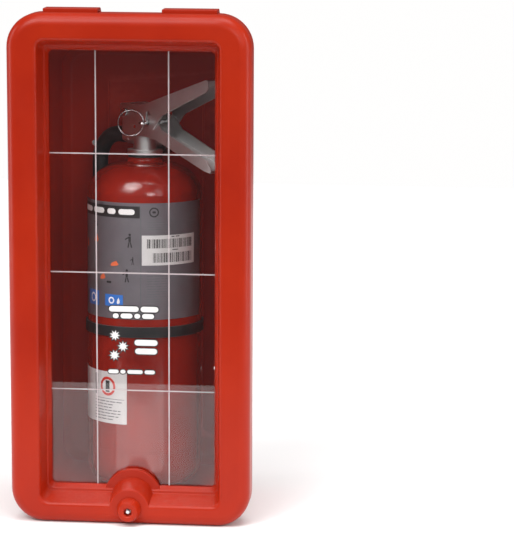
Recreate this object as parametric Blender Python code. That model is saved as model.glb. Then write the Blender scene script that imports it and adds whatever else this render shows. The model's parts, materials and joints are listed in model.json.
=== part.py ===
"""A small dry-powder fire extinguisher standing in its wall cabinet.

The origin is the middle of the cabinet's back wall, on the wall plane. +X is to the right, +Y goes
into the wall and +Z is up. The cover leans: its top stands further from the wall than its bottom, so
everything on the cover is drawn in the leaning frame, in which Y is the depth behind the cover's
front face and Z is measured from the cover's middle. The extinguisher has a frame of its own too: Z is
the height above its base, the labels face -Y and the levers point along +X.
"""
import math

import bmesh
import bpy
from mathutils import Matrix, Vector

MM = 0.001
GAP = 0.3 * MM                  # between pieces that touch
EMBED = 1.5 * MM                # how far a rib or a boss runs into the wall that carries it
PAST = 2 * MM                   # how far a cutter runs past the face it cuts

# Cabinet, overall
COVER_WIDTH = 222 * MM
COVER_HEIGHT = 470 * MM
DEPTH_TOP = 195 * MM            # wall to cover face, at the cover's top edge
DEPTH_BOTTOM = 181 * MM
BACK_WIDTH = 187 * MM
BACK_HEIGHT = 414 * MM
COVER_RISE = 9 * MM             # cover's middle above the back's middle
SHELL_WALL = 3 * MM

# Cover
COVER_DEPTH = 29 * MM
COVER_CORNER = 31 * MM
COVER_ROLL = 11 * MM
FLANGE = (24.5 * MM, 20.8 * MM, 16.2 * MM)       # flat front: sides, top, bottom
RECESS = (10.5 * MM, 14 * MM, 15.5 * MM)         # opening edge to window edge, same order
OPENING_CORNER = 11 * MM
OPENING_ROLL = 4 * MM
LEDGE_SHARE = (0.62, 0.78)      # of the recess inset, where the ledge starts and ends
LEDGE_DEPTH = 21 * MM
LEDGE_FALL = 0.6 * MM
LEDGE_CORNERS = (6 * MM, 5 * MM)
LIP_DEPTH = 27 * MM
WINDOW_CORNER = 4 * MM
LIP_LAND = 9 * MM               # back of the lip, from the window edge outwards
LAND_CORNER = 10 * MM
INSIDE_CORNER = 12 * MM         # where the recess wall meets the flange, inside

# Break panel
PANEL_THICK = 2.5 * MM
PANEL_LAP = 6 * MM
SCORE_DEPTHS = (0.8 * MM, 0.5 * MM)              # upright scores, level scores
SCORE_WIDTH = 1.5 * MM
SCORE_X = 33.5 * MM
SCORE_PITCH = 110 * MM
SCORE_MIDDLE = -4 * MM

# Panel clips and their screws
POST_RADIUS = 3.5 * MM
POST_START = 14 * MM
POST_OUT = 5.5 * MM             # post axis outside the panel's edge
CLIP_WIDTH = 14 * MM
CLIP_THICK = 1.6 * MM
CLIP_LAP = 5 * MM
CLIP_X = 45 * MM
SCREW_RADIUS = 1.4 * MM
SCREW_LENGTH = 9 * MM
SCREW_HEAD = (3.2 * MM, 1.8 * MM)
SCREW_CLEARANCE = 0.3 * MM

# Lock
LOCK_RISE = 15 * MM             # above the cover's bottom edge
LOCK_Z = LOCK_RISE - COVER_HEIGHT / 2
BOSS_FRONT = (18.5 * MM, 0.5 * MM)               # radius, and how far its centre is above the lock
BOSS_BACK = (21 * MM, 5 * MM)
COLLAR = (27 * MM, 5.5 * MM)
COLLAR_DEPTH = 23 * MM
BOSS_CUT = 3.5 * MM             # the boss ends this far below the lock, inside the flange
STUD_RADIUS = 3 * MM
STUD_CLEARANCE = 0.6 * MM
LOCK_TRAVEL = 9 * MM
WASHER = (6.2 * MM, 1.2 * MM)
HEAD_RADII = (11.2 * MM, 8.5 * MM)
HEAD_LENGTH = 9.3 * MM
HEX_RADIUS = 4.1 * MM
HEX_DEPTH = 5 * MM
SECURITY_PIN = 1.6 * MM
BODY_BOSS = (7.5 * MM, 16 * MM)                  # radius, length
BODY_BOSS_START = 3.5 * MM      # behind the cover's rear edge
INSERT_WALL = 1 * MM
STUD_LENGTH = 44 * MM           # behind the cover's front face

# Cabinet body
PARTING = 1 * MM                # between cover and body
BODY_INSET = (6 * MM, 10.5 * MM, 4.5 * MM)       # body wall inside the cover's outline
RIM_INSET = (2 * MM, 5 * MM, 1.5 * MM)
RIM_DEPTH = 7 * MM
BODY_CORNER = 28 * MM
BACK_CORNER = 22 * MM
BACK_ROLL = 12 * MM
SEAT_Z = -206 * MM              # top of the seat ribs
RIB_X = 25 * MM
RIB_WIDTH = 4 * MM
MOUNT_HOLE = 2.75 * MM
MOUNT_HOLE_X = 60 * MM
MOUNT_HOLE_Z = 110 * MM

# Hook tabs on the body, which carry the cover
TAB_X = 54 * MM
TAB_WIDTH = 50 * MM
TAB_THICK = 3 * MM
TAB_RISE = 0.5 * MM             # above the cover's top
TONGUE_START = 17 * MM
TONGUE_THICK = 2.5 * MM
TONGUE_DROP = 3.5 * MM          # below the cover's top
TAB_FLAT_END = 34.7 * MM
TAB_END = 55 * MM
TOP_WALL_FALL = 0.21            # slope of the body's top wall, in the leaning frame
SLOT_SIDE = 0.8 * MM
SLOT_FRONT = 1.1 * MM
SLOT_BACK = 1 * MM
HINGE_AHEAD = 2 * MM            # hinge axis ahead of the tongue
HINGE_BELOW = 1.5 * MM          # and below the cover's top

# Extinguisher, overall
BOTTLE_Y = -78 * MM
BOTTLE_YAW = math.radians(-40)
BOTTLE_RADIUS = 54 * MM
BOTTLE_SHOULDER = 275 * MM
BOTTLE_DOME = 32 * MM
BOTTLE_FOOT_ROLL = 20 * MM
BOTTLE_WALL = 1.5 * MM
BOTTLE_SIDES = 48
NECK_RADIUS = 17 * MM
NECK_TOP = 311 * MM
FILL_HEIGHT = 225 * MM

# Valve
THREAD_RADIUS = 12.2 * MM
THREAD_LENGTH = 28 * MM
SEAL_RING = 2 * MM
VALVE_FLANGE = (16.5 * MM, 4.5 * MM)
VALVE_RADIUS = 11 * MM
VALVE_TOP = 349 * MM
CHAMBER_RADIUS = 6.3 * MM
SEAT_HEIGHT = 317 * MM
PASSAGE_RADIUS = 4.2 * MM
PASSAGE_TOP = 337 * MM
STEM_RADIUS = 1.8 * MM
STEM_CLEARANCE = 0.3 * MM
STEM_SEAL = 3.1 * MM
STEM_DISC = (5.6 * MM, 4 * MM)
SIPHON_TOP = 295 * MM
SIPHON_BOTTOM = 12 * MM
SIPHON_RADIUS = 6 * MM
SIPHON_WALL = 1.2 * MM
SPRING_WIRE = 0.5 * MM
SPRING_RADIUS = 5.4 * MM
SPRING_TURNS = 4
OUTLET_HEIGHT = 330 * MM
OUTLET_BOSS = (8 * MM, 15 * MM)                  # radius, reach from the valve's axis
OUTLET_BORE = 5.2 * MM
GAUGE_HEIGHT = 324.5 * MM
GAUGE_BOSS = (6 * MM, VALVE_FLANGE[0] + 0.7 * MM)

# Levers
PIVOT = (-12 * MM, 353 * MM)
PIVOT_RADIUS = 2.2 * MM
PIN_CLEARANCE = 0.3 * MM
CHEEK_GAP = 0.5 * MM            # between the valve and the handle's cheeks
SHEET = 1.5 * MM
LEVER_SIDE_GAP = 0.3 * MM
LEVER_SWING = math.radians(14)
LEVER_RISE = 6.5 * MM           # underside of the lever's web above its pivot
HANDLE_TIP = (103 * MM, 304 * MM)
HANDLE_EYE = 5.5 * MM           # radius of the cheeks round the pivot
HANDLE_CREST = ((38 * MM, 339 * MM), (28 * MM, 350 * MM), (14 * MM, 353 * MM), (0, 355.6 * MM))
HANDLE_HEEL = (30 * MM, 329 * MM)
LEVER_EYE = 7 * MM
LEVER_SKIRT = ((2 * MM, 343 * MM), (13 * MM, 339.5 * MM), (27 * MM, 339 * MM), (40 * MM, 353 * MM))
LEVER_TIP = (101 * MM, 388 * MM)
RIVET_RADIUS = 1.8 * MM
RIVET_DEPTH = 5 * MM            # from the valve's axis to the rivet's end
RIVET_AT = (0, 0, 340 * MM)
PULL_PIN = (19.5 * MM, 345 * MM)
PULL_PIN_RADIUS = 2.2 * MM
PULL_PIN_TIP = 2.5 * MM         # beyond the far side of the lever
EYE_RADIUS = 3.2 * MM
EYE_WIRE = 1.2 * MM
RING_RADIUS = 11.5 * MM
RING_WIRE = 1.1 * MM

# Gauge
GAUGE_STEM = 3 * MM
GAUGE_RADIUS = 12.5 * MM
GAUGE_DEPTH = 12 * MM
GAUGE_WALL = 1.5 * MM
DIAL_DEPTH = 6 * MM             # front of the gauge's back plate to the dial
NEEDLE_LENGTH = 7.5 * MM

# Hose
HOSE_RADIUS = 7.5 * MM
HOSE_END = 122 * MM
HOSE_CLEARANCE = 2.5 * MM        # between the hose and the bottle
HOSE_OFFSET = BOTTLE_RADIUS + HOSE_RADIUS + HOSE_CLEARANCE
HOSE_BEND = 28 * MM
COUPLING = (8.5 * MM, 9 * MM)
FERRULE_WALL = 1.2 * MM
FERRULE_LENGTH = 14 * MM
NOZZLE_BOTTOM = 70 * MM
NOZZLE_RADII = (8.4 * MM, 6.2 * MM)
NOZZLE_BORE = 3.5 * MM
STRAP_HEIGHTS = (147 * MM, 157 * MM)
STRAP_THICK = 1.6 * MM
CLIP_MOUTH = 1.5 * MM           # how far the hose clip is open past the hose's near side

# Labels: heights, and angles from the front, in steps of one side of the bottle
LABEL_THICK = 0.3 * MM
INSTRUCTION_LABEL = ((164 * MM, 273 * MM), (-6, 16))
LOWER_LABEL = ((64 * MM, 113 * MM), (-8, 4))
BAR_STICKER = ((215 * MM, 243 * MM), (6, 14))

RED = (0.42, 0.016, 0.008)
DARK_RED = (0.16, 0.008, 0.008)
STEEL = (0.55, 0.55, 0.56)
NICKEL = (0.62, 0.60, 0.57)
BLACK = (0.012, 0.012, 0.013)
BRASS = (0.60, 0.42, 0.18)
WHITE = (0.75, 0.75, 0.75)
SILVER = (0.45, 0.45, 0.46)


# ---------------------------------------------------------------- tools

def clear_scene():
    for item in list(bpy.data.objects):
        bpy.data.objects.remove(item, do_unlink=True)


def finish_material(colour, roughness, metallic, alpha=1.0):
    """One Principled material for each finish."""
    name = "finish_%02x%02x%02x_%02d%d" % (*(int(255 * c) for c in colour), int(roughness * 99), metallic)
    found = bpy.data.materials.get(name)
    if found:
        return found
    made = bpy.data.materials.new(name)
    made.use_nodes = True
    shader = made.node_tree.nodes["Principled BSDF"]
    shader.inputs["Base Color"].default_value = (*colour, 1.0)
    shader.inputs["Roughness"].default_value = roughness
    shader.inputs["Metallic"].default_value = metallic
    shader.inputs["Alpha"].default_value = alpha
    made.diffuse_color = (*colour, alpha)
    return made


def empty(name, matrix):
    made = bpy.data.objects.new(name, None)
    bpy.context.scene.collection.objects.link(made)
    made.matrix_local = matrix
    return made


def add_object(name, data, frame, finish=None, pivot=(0, 0, 0)):
    """Link a piece drawn in the axes of frame, with its origin at pivot."""
    pivot = Vector(pivot)
    data.transform(Matrix.Translation(-pivot))
    made = bpy.data.objects.new(name, data)
    bpy.context.scene.collection.objects.link(made)
    made.parent = frame
    made.location = pivot
    if finish:
        data.materials.append(finish)
    return made


def mesh_of(name, bm, smooth_angle=35):
    """Close a bmesh into a mesh with outward faces and smooth round sides."""
    bmesh.ops.recalc_face_normals(bm, faces=bm.faces)
    mesh = bpy.data.meshes.new(name)
    bm.to_mesh(mesh)
    bm.free()
    mesh.shade_smooth()
    mesh.set_sharp_from_angle(angle=math.radians(smooth_angle))
    return mesh


def loop_of(bm, points):
    """The vertices of one closed ring of edges."""
    verts = [bm.verts.new(point) for point in points]
    for pair in zip(verts, verts[1:] + verts[:1]):
        bm.edges.new(pair)
    return verts


def extruded_ring(bm, ring, points):
    """Extrude a closed ring of vertices and move the new one to points."""
    edges = [bm.edges.get(pair) for pair in zip(ring, ring[1:] + ring[:1])]
    made = set(bmesh.ops.extrude_edge_only(bm, edges=edges)["geom"])
    following = [next(edge.other_vert(vert) for edge in vert.link_edges if edge.other_vert(vert) in made)
                 for vert in ring]
    for vert, point in zip(following, points):
        vert.co = point
    return following


def lofted(name, rings, endless=False):
    """A skin through rings of equally many points, capped, or closed on itself when endless."""
    bm = bmesh.new()
    ring = loop_of(bm, rings[0])
    if not endless:
        bm.faces.new(ring)
    for points in rings[1:]:
        ring = extruded_ring(bm, ring, points)
    if endless:
        extruded_ring(bm, ring, rings[0])
        bmesh.ops.remove_doubles(bm, verts=bm.verts, dist=0.00001)
    else:
        bm.faces.new(ring)
    return mesh_of(name, bm)


def turned(name, profile, sides=24, matrix=None):
    """A profile of (radius, height) points spun about Z, then moved by matrix."""
    bm = bmesh.new()
    verts = [bm.verts.new((radius, 0, height)) for radius, height in profile]
    edges = [bm.edges.new(pair) for pair in zip(verts, verts[1:])]
    if profile[0][0] > 0 or profile[-1][0] > 0:
        edges.append(bm.edges.new((verts[-1], verts[0])))
    bmesh.ops.spin(bm, geom=verts + edges, axis=(0, 0, 1), cent=(0, 0, 0), angle=2 * math.pi,
                   steps=sides, use_merge=True)
    bmesh.ops.remove_doubles(bm, verts=bm.verts, dist=0.00001)
    bmesh.ops.transform(bm, matrix=matrix or Matrix(), verts=bm.verts)
    return mesh_of(name, bm)


def extruded(name, outline, start, end, matrix=None):
    """An (a, b) outline drawn on X and Z, extruded along Y, then moved by matrix."""
    bm = bmesh.new()
    loop_of(bm, [(a, start, b) for a, b in outline])
    face = bmesh.ops.contextual_create(bm, geom=bm.edges)["faces"]
    grown = bmesh.ops.extrude_face_region(bm, geom=face)["geom"]
    moved = [item for item in grown if isinstance(item, bmesh.types.BMVert)]
    bmesh.ops.translate(bm, verts=moved, vec=(0, end - start, 0))
    bmesh.ops.transform(bm, matrix=matrix or Matrix(), verts=bm.verts)
    return mesh_of(name, bm)


def block(name, low, high):
    bm = bmesh.new()
    bmesh.ops.create_cube(bm, size=1)
    low, high = Vector(low), Vector(high)
    size = Matrix.Diagonal((*(high - low), 1))
    bmesh.ops.transform(bm, matrix=Matrix.Translation((low + high) / 2) @ size, verts=bm.verts)
    return mesh_of(name, bm)


def rod(name, radius, start, end, along="Z", at=(0, 0, 0), sides=20, end_radius=None):
    """A round bar, or a cone, between two places on one axis through at."""
    bm = bmesh.new()
    bmesh.ops.create_cone(bm, cap_ends=True, segments=sides, radius1=radius,
                          radius2=end_radius or radius, depth=end - start)
    bmesh.ops.translate(bm, verts=bm.verts, vec=(0, 0, (start + end) / 2))
    turn = {"X": Matrix.Rotation(math.pi / 2, 4, "Y"), "Y": Matrix.Rotation(-math.pi / 2, 4, "X"),
            "Z": Matrix()}[along]
    bmesh.ops.transform(bm, matrix=Matrix.Translation(at) @ turn, verts=bm.verts)
    return mesh_of(name, bm)


def wire(name, points, radius, cyclic=False, sides=2):
    """A bevelled curve along points, with filled caps."""
    curve = bpy.data.curves.new(name, "CURVE")
    curve.dimensions = "3D"
    curve.bevel_depth = radius
    curve.bevel_resolution = sides
    curve.use_fill_caps = True
    spline = curve.splines.new("POLY")
    spline.points.add(len(points) - 1)
    for slot, point in zip(spline.points, points):
        slot.co = (*point, 1)
    spline.use_cyclic_u = cyclic
    return curve


def shape_with(piece, kind, *tools):
    """Cut tools out of a piece, or join them to it, with live Boolean modifiers."""
    for data in tools:
        tool = add_object("tool_" + data.name, data, piece.parent)
        tool.display_type = "WIRE"
        tool.hide_render = True
        step = piece.modifiers.new(data.name, "BOOLEAN")
        step.operation = kind
        step.solver = "EXACT"
        step.object = tool
    return piece


def cut(piece, *tools):
    return shape_with(piece, "DIFFERENCE", *tools)


def join(piece, *tools):
    return shape_with(piece, "UNION", *tools)


def rounded_ring(half_width, top, bottom, radius, y, corner_steps=5):
    """Points of a rounded rectangle at depth y, counter-clockwise from the right side."""
    corners = ((1, top, 0), (-1, top, 90), (-1, bottom, 180), (1, bottom, 270))
    points = []
    for side, edge, start in corners:
        centre = Vector((side * (half_width - radius), y, edge - math.copysign(radius, edge)))
        for step in range(corner_steps + 1):
            angle = math.radians(start + 90 * step / corner_steps)
            points.append(centre + radius * Vector((math.cos(angle), 0, math.sin(angle))))
    return points


def circle_ring(radius, y, centre_z, sides=32):
    angles = (2 * math.pi * step / sides for step in range(sides))
    return [Vector((radius * math.cos(a), y, centre_z + radius * math.sin(a))) for a in angles]


# ---------------------------------------------------------------- frames

LEAN = math.atan((DEPTH_TOP - DEPTH_BOTTOM) / COVER_HEIGHT)
LEANING = (Matrix.Translation((0, -(DEPTH_TOP + DEPTH_BOTTOM) / 2, COVER_RISE))
           @ Matrix.Rotation(LEAN, 4, "X"))
STANDING = Matrix.Translation((0, BOTTLE_Y, SEAT_Z + GAP)) @ Matrix.Rotation(BOTTLE_YAW, 4, "Z")
HINGE = (0, TONGUE_START - HINGE_AHEAD, COVER_HEIGHT / 2 - HINGE_BELOW)
COVER_HALF = COVER_WIDTH / 2
COVER_TOP = COVER_HEIGHT / 2


def inset_ring(insets, radius, y):
    """A ring inside the cover's outline by (sides, top, bottom)."""
    side, top, bottom = insets
    return rounded_ring(COVER_HALF - side, COVER_TOP - top, bottom - COVER_TOP, radius, y)


def grown_insets(insets, extra):
    """Insets plus a share of the recess, or a plain distance, all round."""
    if isinstance(extra, tuple):
        return tuple(a + b for a, b in zip(insets, extra))
    return tuple(a + extra for a in insets)


def recess_share(share):
    return tuple(share * size for size in RECESS)


WINDOW = grown_insets(FLANGE, RECESS)
PANEL_INSETS = grown_insets(WINDOW, -PANEL_LAP)
PANEL_FRONT = COVER_DEPTH + GAP
PANEL_BACK = PANEL_FRONT + PANEL_THICK


# ---------------------------------------------------------------- cover

def cover_rings():
    """The cover's section, from its outer rear edge over the front and back along the inside."""
    inner_roll = COVER_ROLL - SHELL_WALL
    rings = [inset_ring((0, 0, 0), COVER_CORNER, COVER_DEPTH)]
    for step in range(5):
        angle = math.radians(22.5 * step)
        inset = COVER_ROLL * (1 - math.cos(angle))
        rings.append(inset_ring((inset,) * 3, COVER_CORNER - inset, COVER_ROLL * (1 - math.sin(angle))))
    for step in range(4):
        angle = math.radians(30 * step)
        inset = OPENING_ROLL * math.sin(angle)
        rings.append(inset_ring(grown_insets(FLANGE, inset), OPENING_CORNER - inset,
                                OPENING_ROLL * (1 - math.cos(angle))))
    ledge_start, ledge_end = LEDGE_SHARE
    rings.append(inset_ring(grown_insets(FLANGE, recess_share(ledge_start)), LEDGE_CORNERS[0], LEDGE_DEPTH))
    rings.append(inset_ring(grown_insets(FLANGE, recess_share(ledge_end)), LEDGE_CORNERS[1],
                            LEDGE_DEPTH + LEDGE_FALL))
    rings.append(inset_ring(WINDOW, WINDOW_CORNER, LIP_DEPTH))
    rings.append(inset_ring(WINDOW, WINDOW_CORNER, COVER_DEPTH))
    rings.append(inset_ring(grown_insets(WINDOW, -LIP_LAND), LAND_CORNER, COVER_DEPTH))
    rings.append(inset_ring(grown_insets(FLANGE, -SHELL_WALL / 2), INSIDE_CORNER, SHELL_WALL))
    for angle in (90, 45, 0):
        inset = SHELL_WALL + inner_roll * (1 - math.cos(math.radians(angle)))
        rings.append(inset_ring((inset,) * 3, COVER_CORNER - inset,
                                SHELL_WALL + inner_roll * (1 - math.sin(math.radians(angle)))))
    rings.append(inset_ring((SHELL_WALL,) * 3, COVER_CORNER - SHELL_WALL, COVER_DEPTH))
    return rings


def lock_boss(name, rings):
    """A round boss, cut off flat below the lock where the flange takes over."""
    mesh = lofted(name, rings)
    bm = bmesh.new()
    bm.from_mesh(mesh)
    cut_edges = bmesh.ops.bisect_plane(bm, geom=bm.verts[:] + bm.edges[:] + bm.faces[:], clear_inner=True,
                                       plane_co=(0, 0, LOCK_Z - BOSS_CUT), plane_no=(0, 0, 1))["geom_cut"]
    bmesh.ops.contextual_create(bm, geom=[item for item in cut_edges if isinstance(item, bmesh.types.BMEdge)])
    return mesh_of(name, bm)


def clip_places():
    """Middle of each clip's post, and the angle that turns a clip to face the panel."""
    side = COVER_HALF - PANEL_INSETS[0] + POST_OUT
    top = COVER_TOP - PANEL_INSETS[1] + POST_OUT
    bottom = PANEL_INSETS[2] - COVER_TOP - POST_OUT
    return [(side, 0, 0), (-side, 0, 180), (CLIP_X, top, 90), (-CLIP_X, top, 90),
            (CLIP_X, bottom, -90), (-CLIP_X, bottom, -90)]


def make_cover(leaning):
    red = finish_material(RED, 0.35, 0)
    cover = add_object("cover_frame", lofted("cover_frame", cover_rings(), endless=True), leaning, red, HINGE)
    collar_radius, collar_rise = COLLAR
    boss = lock_boss("boss", [circle_ring(radius, y, LOCK_Z + rise) for (radius, rise), y
                              in ((BOSS_FRONT, 0), (BOSS_BACK, COVER_DEPTH))])
    collar = lock_boss("collar", [circle_ring(collar_radius, y, LOCK_Z + collar_rise)
                                  for y in (COLLAR_DEPTH, COVER_DEPTH)])
    posts = [rod("post", POST_RADIUS, POST_START, PANEL_BACK, "Y", (x, 0, z), 16) for x, z, _ in clip_places()]
    join(cover, collar, boss, *posts)

    washer_radius, washer_thick = WASHER
    bore = rod("lock_bore", STUD_RADIUS + STUD_CLEARANCE, -PAST, COVER_DEPTH + PAST, "Y", (0, 0, LOCK_Z))
    pocket_start = COVER_DEPTH - 2 * GAP - washer_thick - LOCK_TRAVEL - GAP
    pocket = rod("washer_pocket", washer_radius + 2 * STUD_CLEARANCE, pocket_start, COVER_DEPTH + PAST,
                 "Y", (0, 0, LOCK_Z))
    screw_bores = [rod("screw_bore", SCREW_RADIUS + SCREW_CLEARANCE, PANEL_BACK - SCREW_LENGTH,
                       PANEL_BACK + PAST, "Y", (x, 0, z), 12) for x, z, _ in clip_places()]
    slots = []
    for side in (-1, 1):
        reach = TAB_WIDTH / 2 + SLOT_SIDE
        slots.append(block("tab_slot", (side * TAB_X - reach, TONGUE_START - SLOT_FRONT, COVER_TOP - 2 * SHELL_WALL),
                           (side * TAB_X + reach, TONGUE_START + TONGUE_THICK + SLOT_BACK, COVER_TOP + PAST)))
    cut(cover, bore, pocket, *screw_bores, *slots)


def make_panel(leaning):
    side, top, bottom = PANEL_INSETS
    half = COVER_HALF - side
    clear = finish_material((0.8, 0.8, 0.8), 0.05, 0, 0.3)
    panel = add_object("break_panel", block("break_panel", (-half, PANEL_FRONT, bottom - COVER_TOP),
                                            (half, PANEL_BACK, COVER_TOP - top)), leaning, clear, HINGE)
    upright = Matrix.Rotation(-math.pi / 2, 4, "X")
    level = Matrix.Rotation(math.pi / 2, 4, "Y") @ upright
    upright_depth, level_depth = SCORE_DEPTHS
    scores = [(upright_depth, Matrix.Translation((x, PANEL_FRONT, 0)) @ upright) for x in (-SCORE_X, SCORE_X)]
    for step in (-1, 0, 1):
        place = Matrix.Translation((0, PANEL_FRONT, SCORE_MIDDLE + step * SCORE_PITCH))
        scores.append((level_depth, place @ level))
    tools = []
    for depth, place in scores:
        groove = [(-SCORE_WIDTH, -depth), (SCORE_WIDTH, -depth), (0, depth)]
        tools.append(extruded("score", groove, -COVER_HEIGHT, COVER_HEIGHT, place))
    cut(panel, *tools)


def make_clips(leaning):
    red = finish_material(DARK_RED, 0.5, 0)
    steel = finish_material(STEEL, 0.3, 1)
    head_radius, head_length = SCREW_HEAD
    clip_front = PANEL_BACK + GAP
    clip_back = clip_front + CLIP_THICK
    head_front = clip_back + GAP
    for number, (x, z, turn) in enumerate(clip_places(), start=1):
        place = Matrix.Translation((x, 0, z)) @ Matrix.Rotation(math.radians(-turn), 4, "Y")
        plate = block("clip", (-POST_OUT - CLIP_LAP, clip_front, -CLIP_WIDTH / 2),
                      (POST_RADIUS, clip_back, CLIP_WIDTH / 2))
        plate.transform(place)
        clip = add_object("panel_clip_%d" % number, plate, leaning, red, HINGE)
        cut(clip, rod("clip_hole", SCREW_RADIUS + SCREW_CLEARANCE, clip_front - PAST, clip_back + PAST,
                      "Y", (x, 0, z), 12))
        tip = clip_front - SCREW_LENGTH + 2 * GAP
        profile = [(0, tip), (SCREW_RADIUS, tip), (SCREW_RADIUS, head_front), (head_radius, head_front),
                   (head_radius, head_front + head_length / 2), (head_radius / 2, head_front + head_length),
                   (0, head_front + head_length)]
        lay = Matrix.Translation((x, 0, z)) @ Matrix.Rotation(-math.pi / 2, 4, "X")
        add_object("clip_screw_%d" % number, turned("clip_screw", profile, 12, lay), leaning, steel, HINGE)


def make_lock(leaning):
    """Screw head, stud and captive washer, all on the lock's axis."""
    axis = (0, 0, LOCK_Z)
    lay = Matrix.Translation(axis) @ Matrix.Rotation(-math.pi / 2, 4, "X")
    base, tip = HEAD_RADII
    front = -GAP - HEAD_LENGTH
    red = finish_material(RED, 0.35, 0)
    steel = finish_material(STEEL, 0.3, 1)
    head_profile = [(0, -GAP), (base, -GAP), (base, -GAP - 1.2 * MM), (tip + 0.6 * MM, front + 0.8 * MM),
                    (tip, front), (0, front)]
    head = add_object("lock_head", turned("lock_head", head_profile, 32, lay), leaning, red, axis)
    shoulder = front + HEX_DEPTH + 2 * GAP
    cut(head, rod("hex_recess", HEX_RADIUS, front - PAST, front + HEX_DEPTH, "Y", axis, 6),
        rod("pin_hole", SECURITY_PIN + GAP, front, 0, "Y", axis, 12),
        rod("stud_hole", STUD_RADIUS + GAP, shoulder, PAST, "Y", axis, 16))
    pin_front = front + 1.2 * MM
    stud_profile = [(0, STUD_LENGTH), (STUD_RADIUS - 0.8 * MM, STUD_LENGTH), (STUD_RADIUS, STUD_LENGTH - MM),
                    (STUD_RADIUS, shoulder + GAP), (SECURITY_PIN, shoulder + GAP), (SECURITY_PIN, pin_front),
                    (0, pin_front)]
    add_object("lock_stud", turned("lock_stud", stud_profile, 16, lay), leaning, steel, axis)
    washer_radius, thick = WASHER
    back = COVER_DEPTH - 2 * GAP
    hole = STUD_RADIUS + GAP
    washer_profile = [(washer_radius, back), (hole, back), (hole, back - thick), (washer_radius, back - thick)]
    add_object("lock_washer", turned("lock_washer", washer_profile, 20, lay), leaning, steel, axis)


# ---------------------------------------------------------------- cabinet body

def body_front_ring(insets, radius, y, inward=0.0):
    grown = grown_insets(insets, inward)
    return [LEANING @ point for point in inset_ring(grown, radius - inward, y)]


def back_ring(inward, radius, y):
    return rounded_ring(BACK_WIDTH / 2 - inward, BACK_HEIGHT / 2 - inward, inward - BACK_HEIGHT / 2, radius, y)


def body_rings():
    """From the middle of the back, out to the rim, and back along the inside."""
    start = COVER_DEPTH + PARTING
    rings = []
    for step in range(4, -1, -1):
        angle = math.radians(22.5 * step)
        inset = BACK_ROLL * (1 - math.cos(angle))
        rings.append(back_ring(inset, BACK_CORNER - inset * 0.8, -BACK_ROLL * (1 - math.sin(angle))))
    wall_front = body_front_ring(BODY_INSET, BODY_CORNER, start)
    share = RIM_DEPTH / (DEPTH_TOP - start - BACK_ROLL)
    rings.append([a.lerp(b, share) for a, b in zip(wall_front, rings[-1])])
    rings.append(body_front_ring(RIM_INSET, COVER_CORNER - RIM_INSET[0], start + RIM_DEPTH))
    rings.append(body_front_ring(RIM_INSET, COVER_CORNER - RIM_INSET[0], start))
    rings.append(body_front_ring(BODY_INSET, BODY_CORNER, start, SHELL_WALL))
    rings.append(back_ring(SHELL_WALL, BACK_CORNER - SHELL_WALL, -BACK_ROLL))
    rings.append(back_ring(BACK_ROLL * 0.75, BACK_CORNER - BACK_ROLL * 0.6, -SHELL_WALL - 1.5 * MM))
    rings.append(back_ring(BACK_ROLL, BACK_CORNER - BACK_ROLL * 0.8, -SHELL_WALL))
    return rings


def floor_height(y):
    """Height of the body's inner floor at depth y."""
    front = LEANING @ Vector((0, COVER_DEPTH + PARTING, BODY_INSET[2] + SHELL_WALL - COVER_TOP))
    back = Vector((0, -BACK_ROLL, SHELL_WALL - BACK_HEIGHT / 2))
    share = (y - front.y) / (back.y - front.y)
    return front.z + share * (back.z - front.z)


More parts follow.
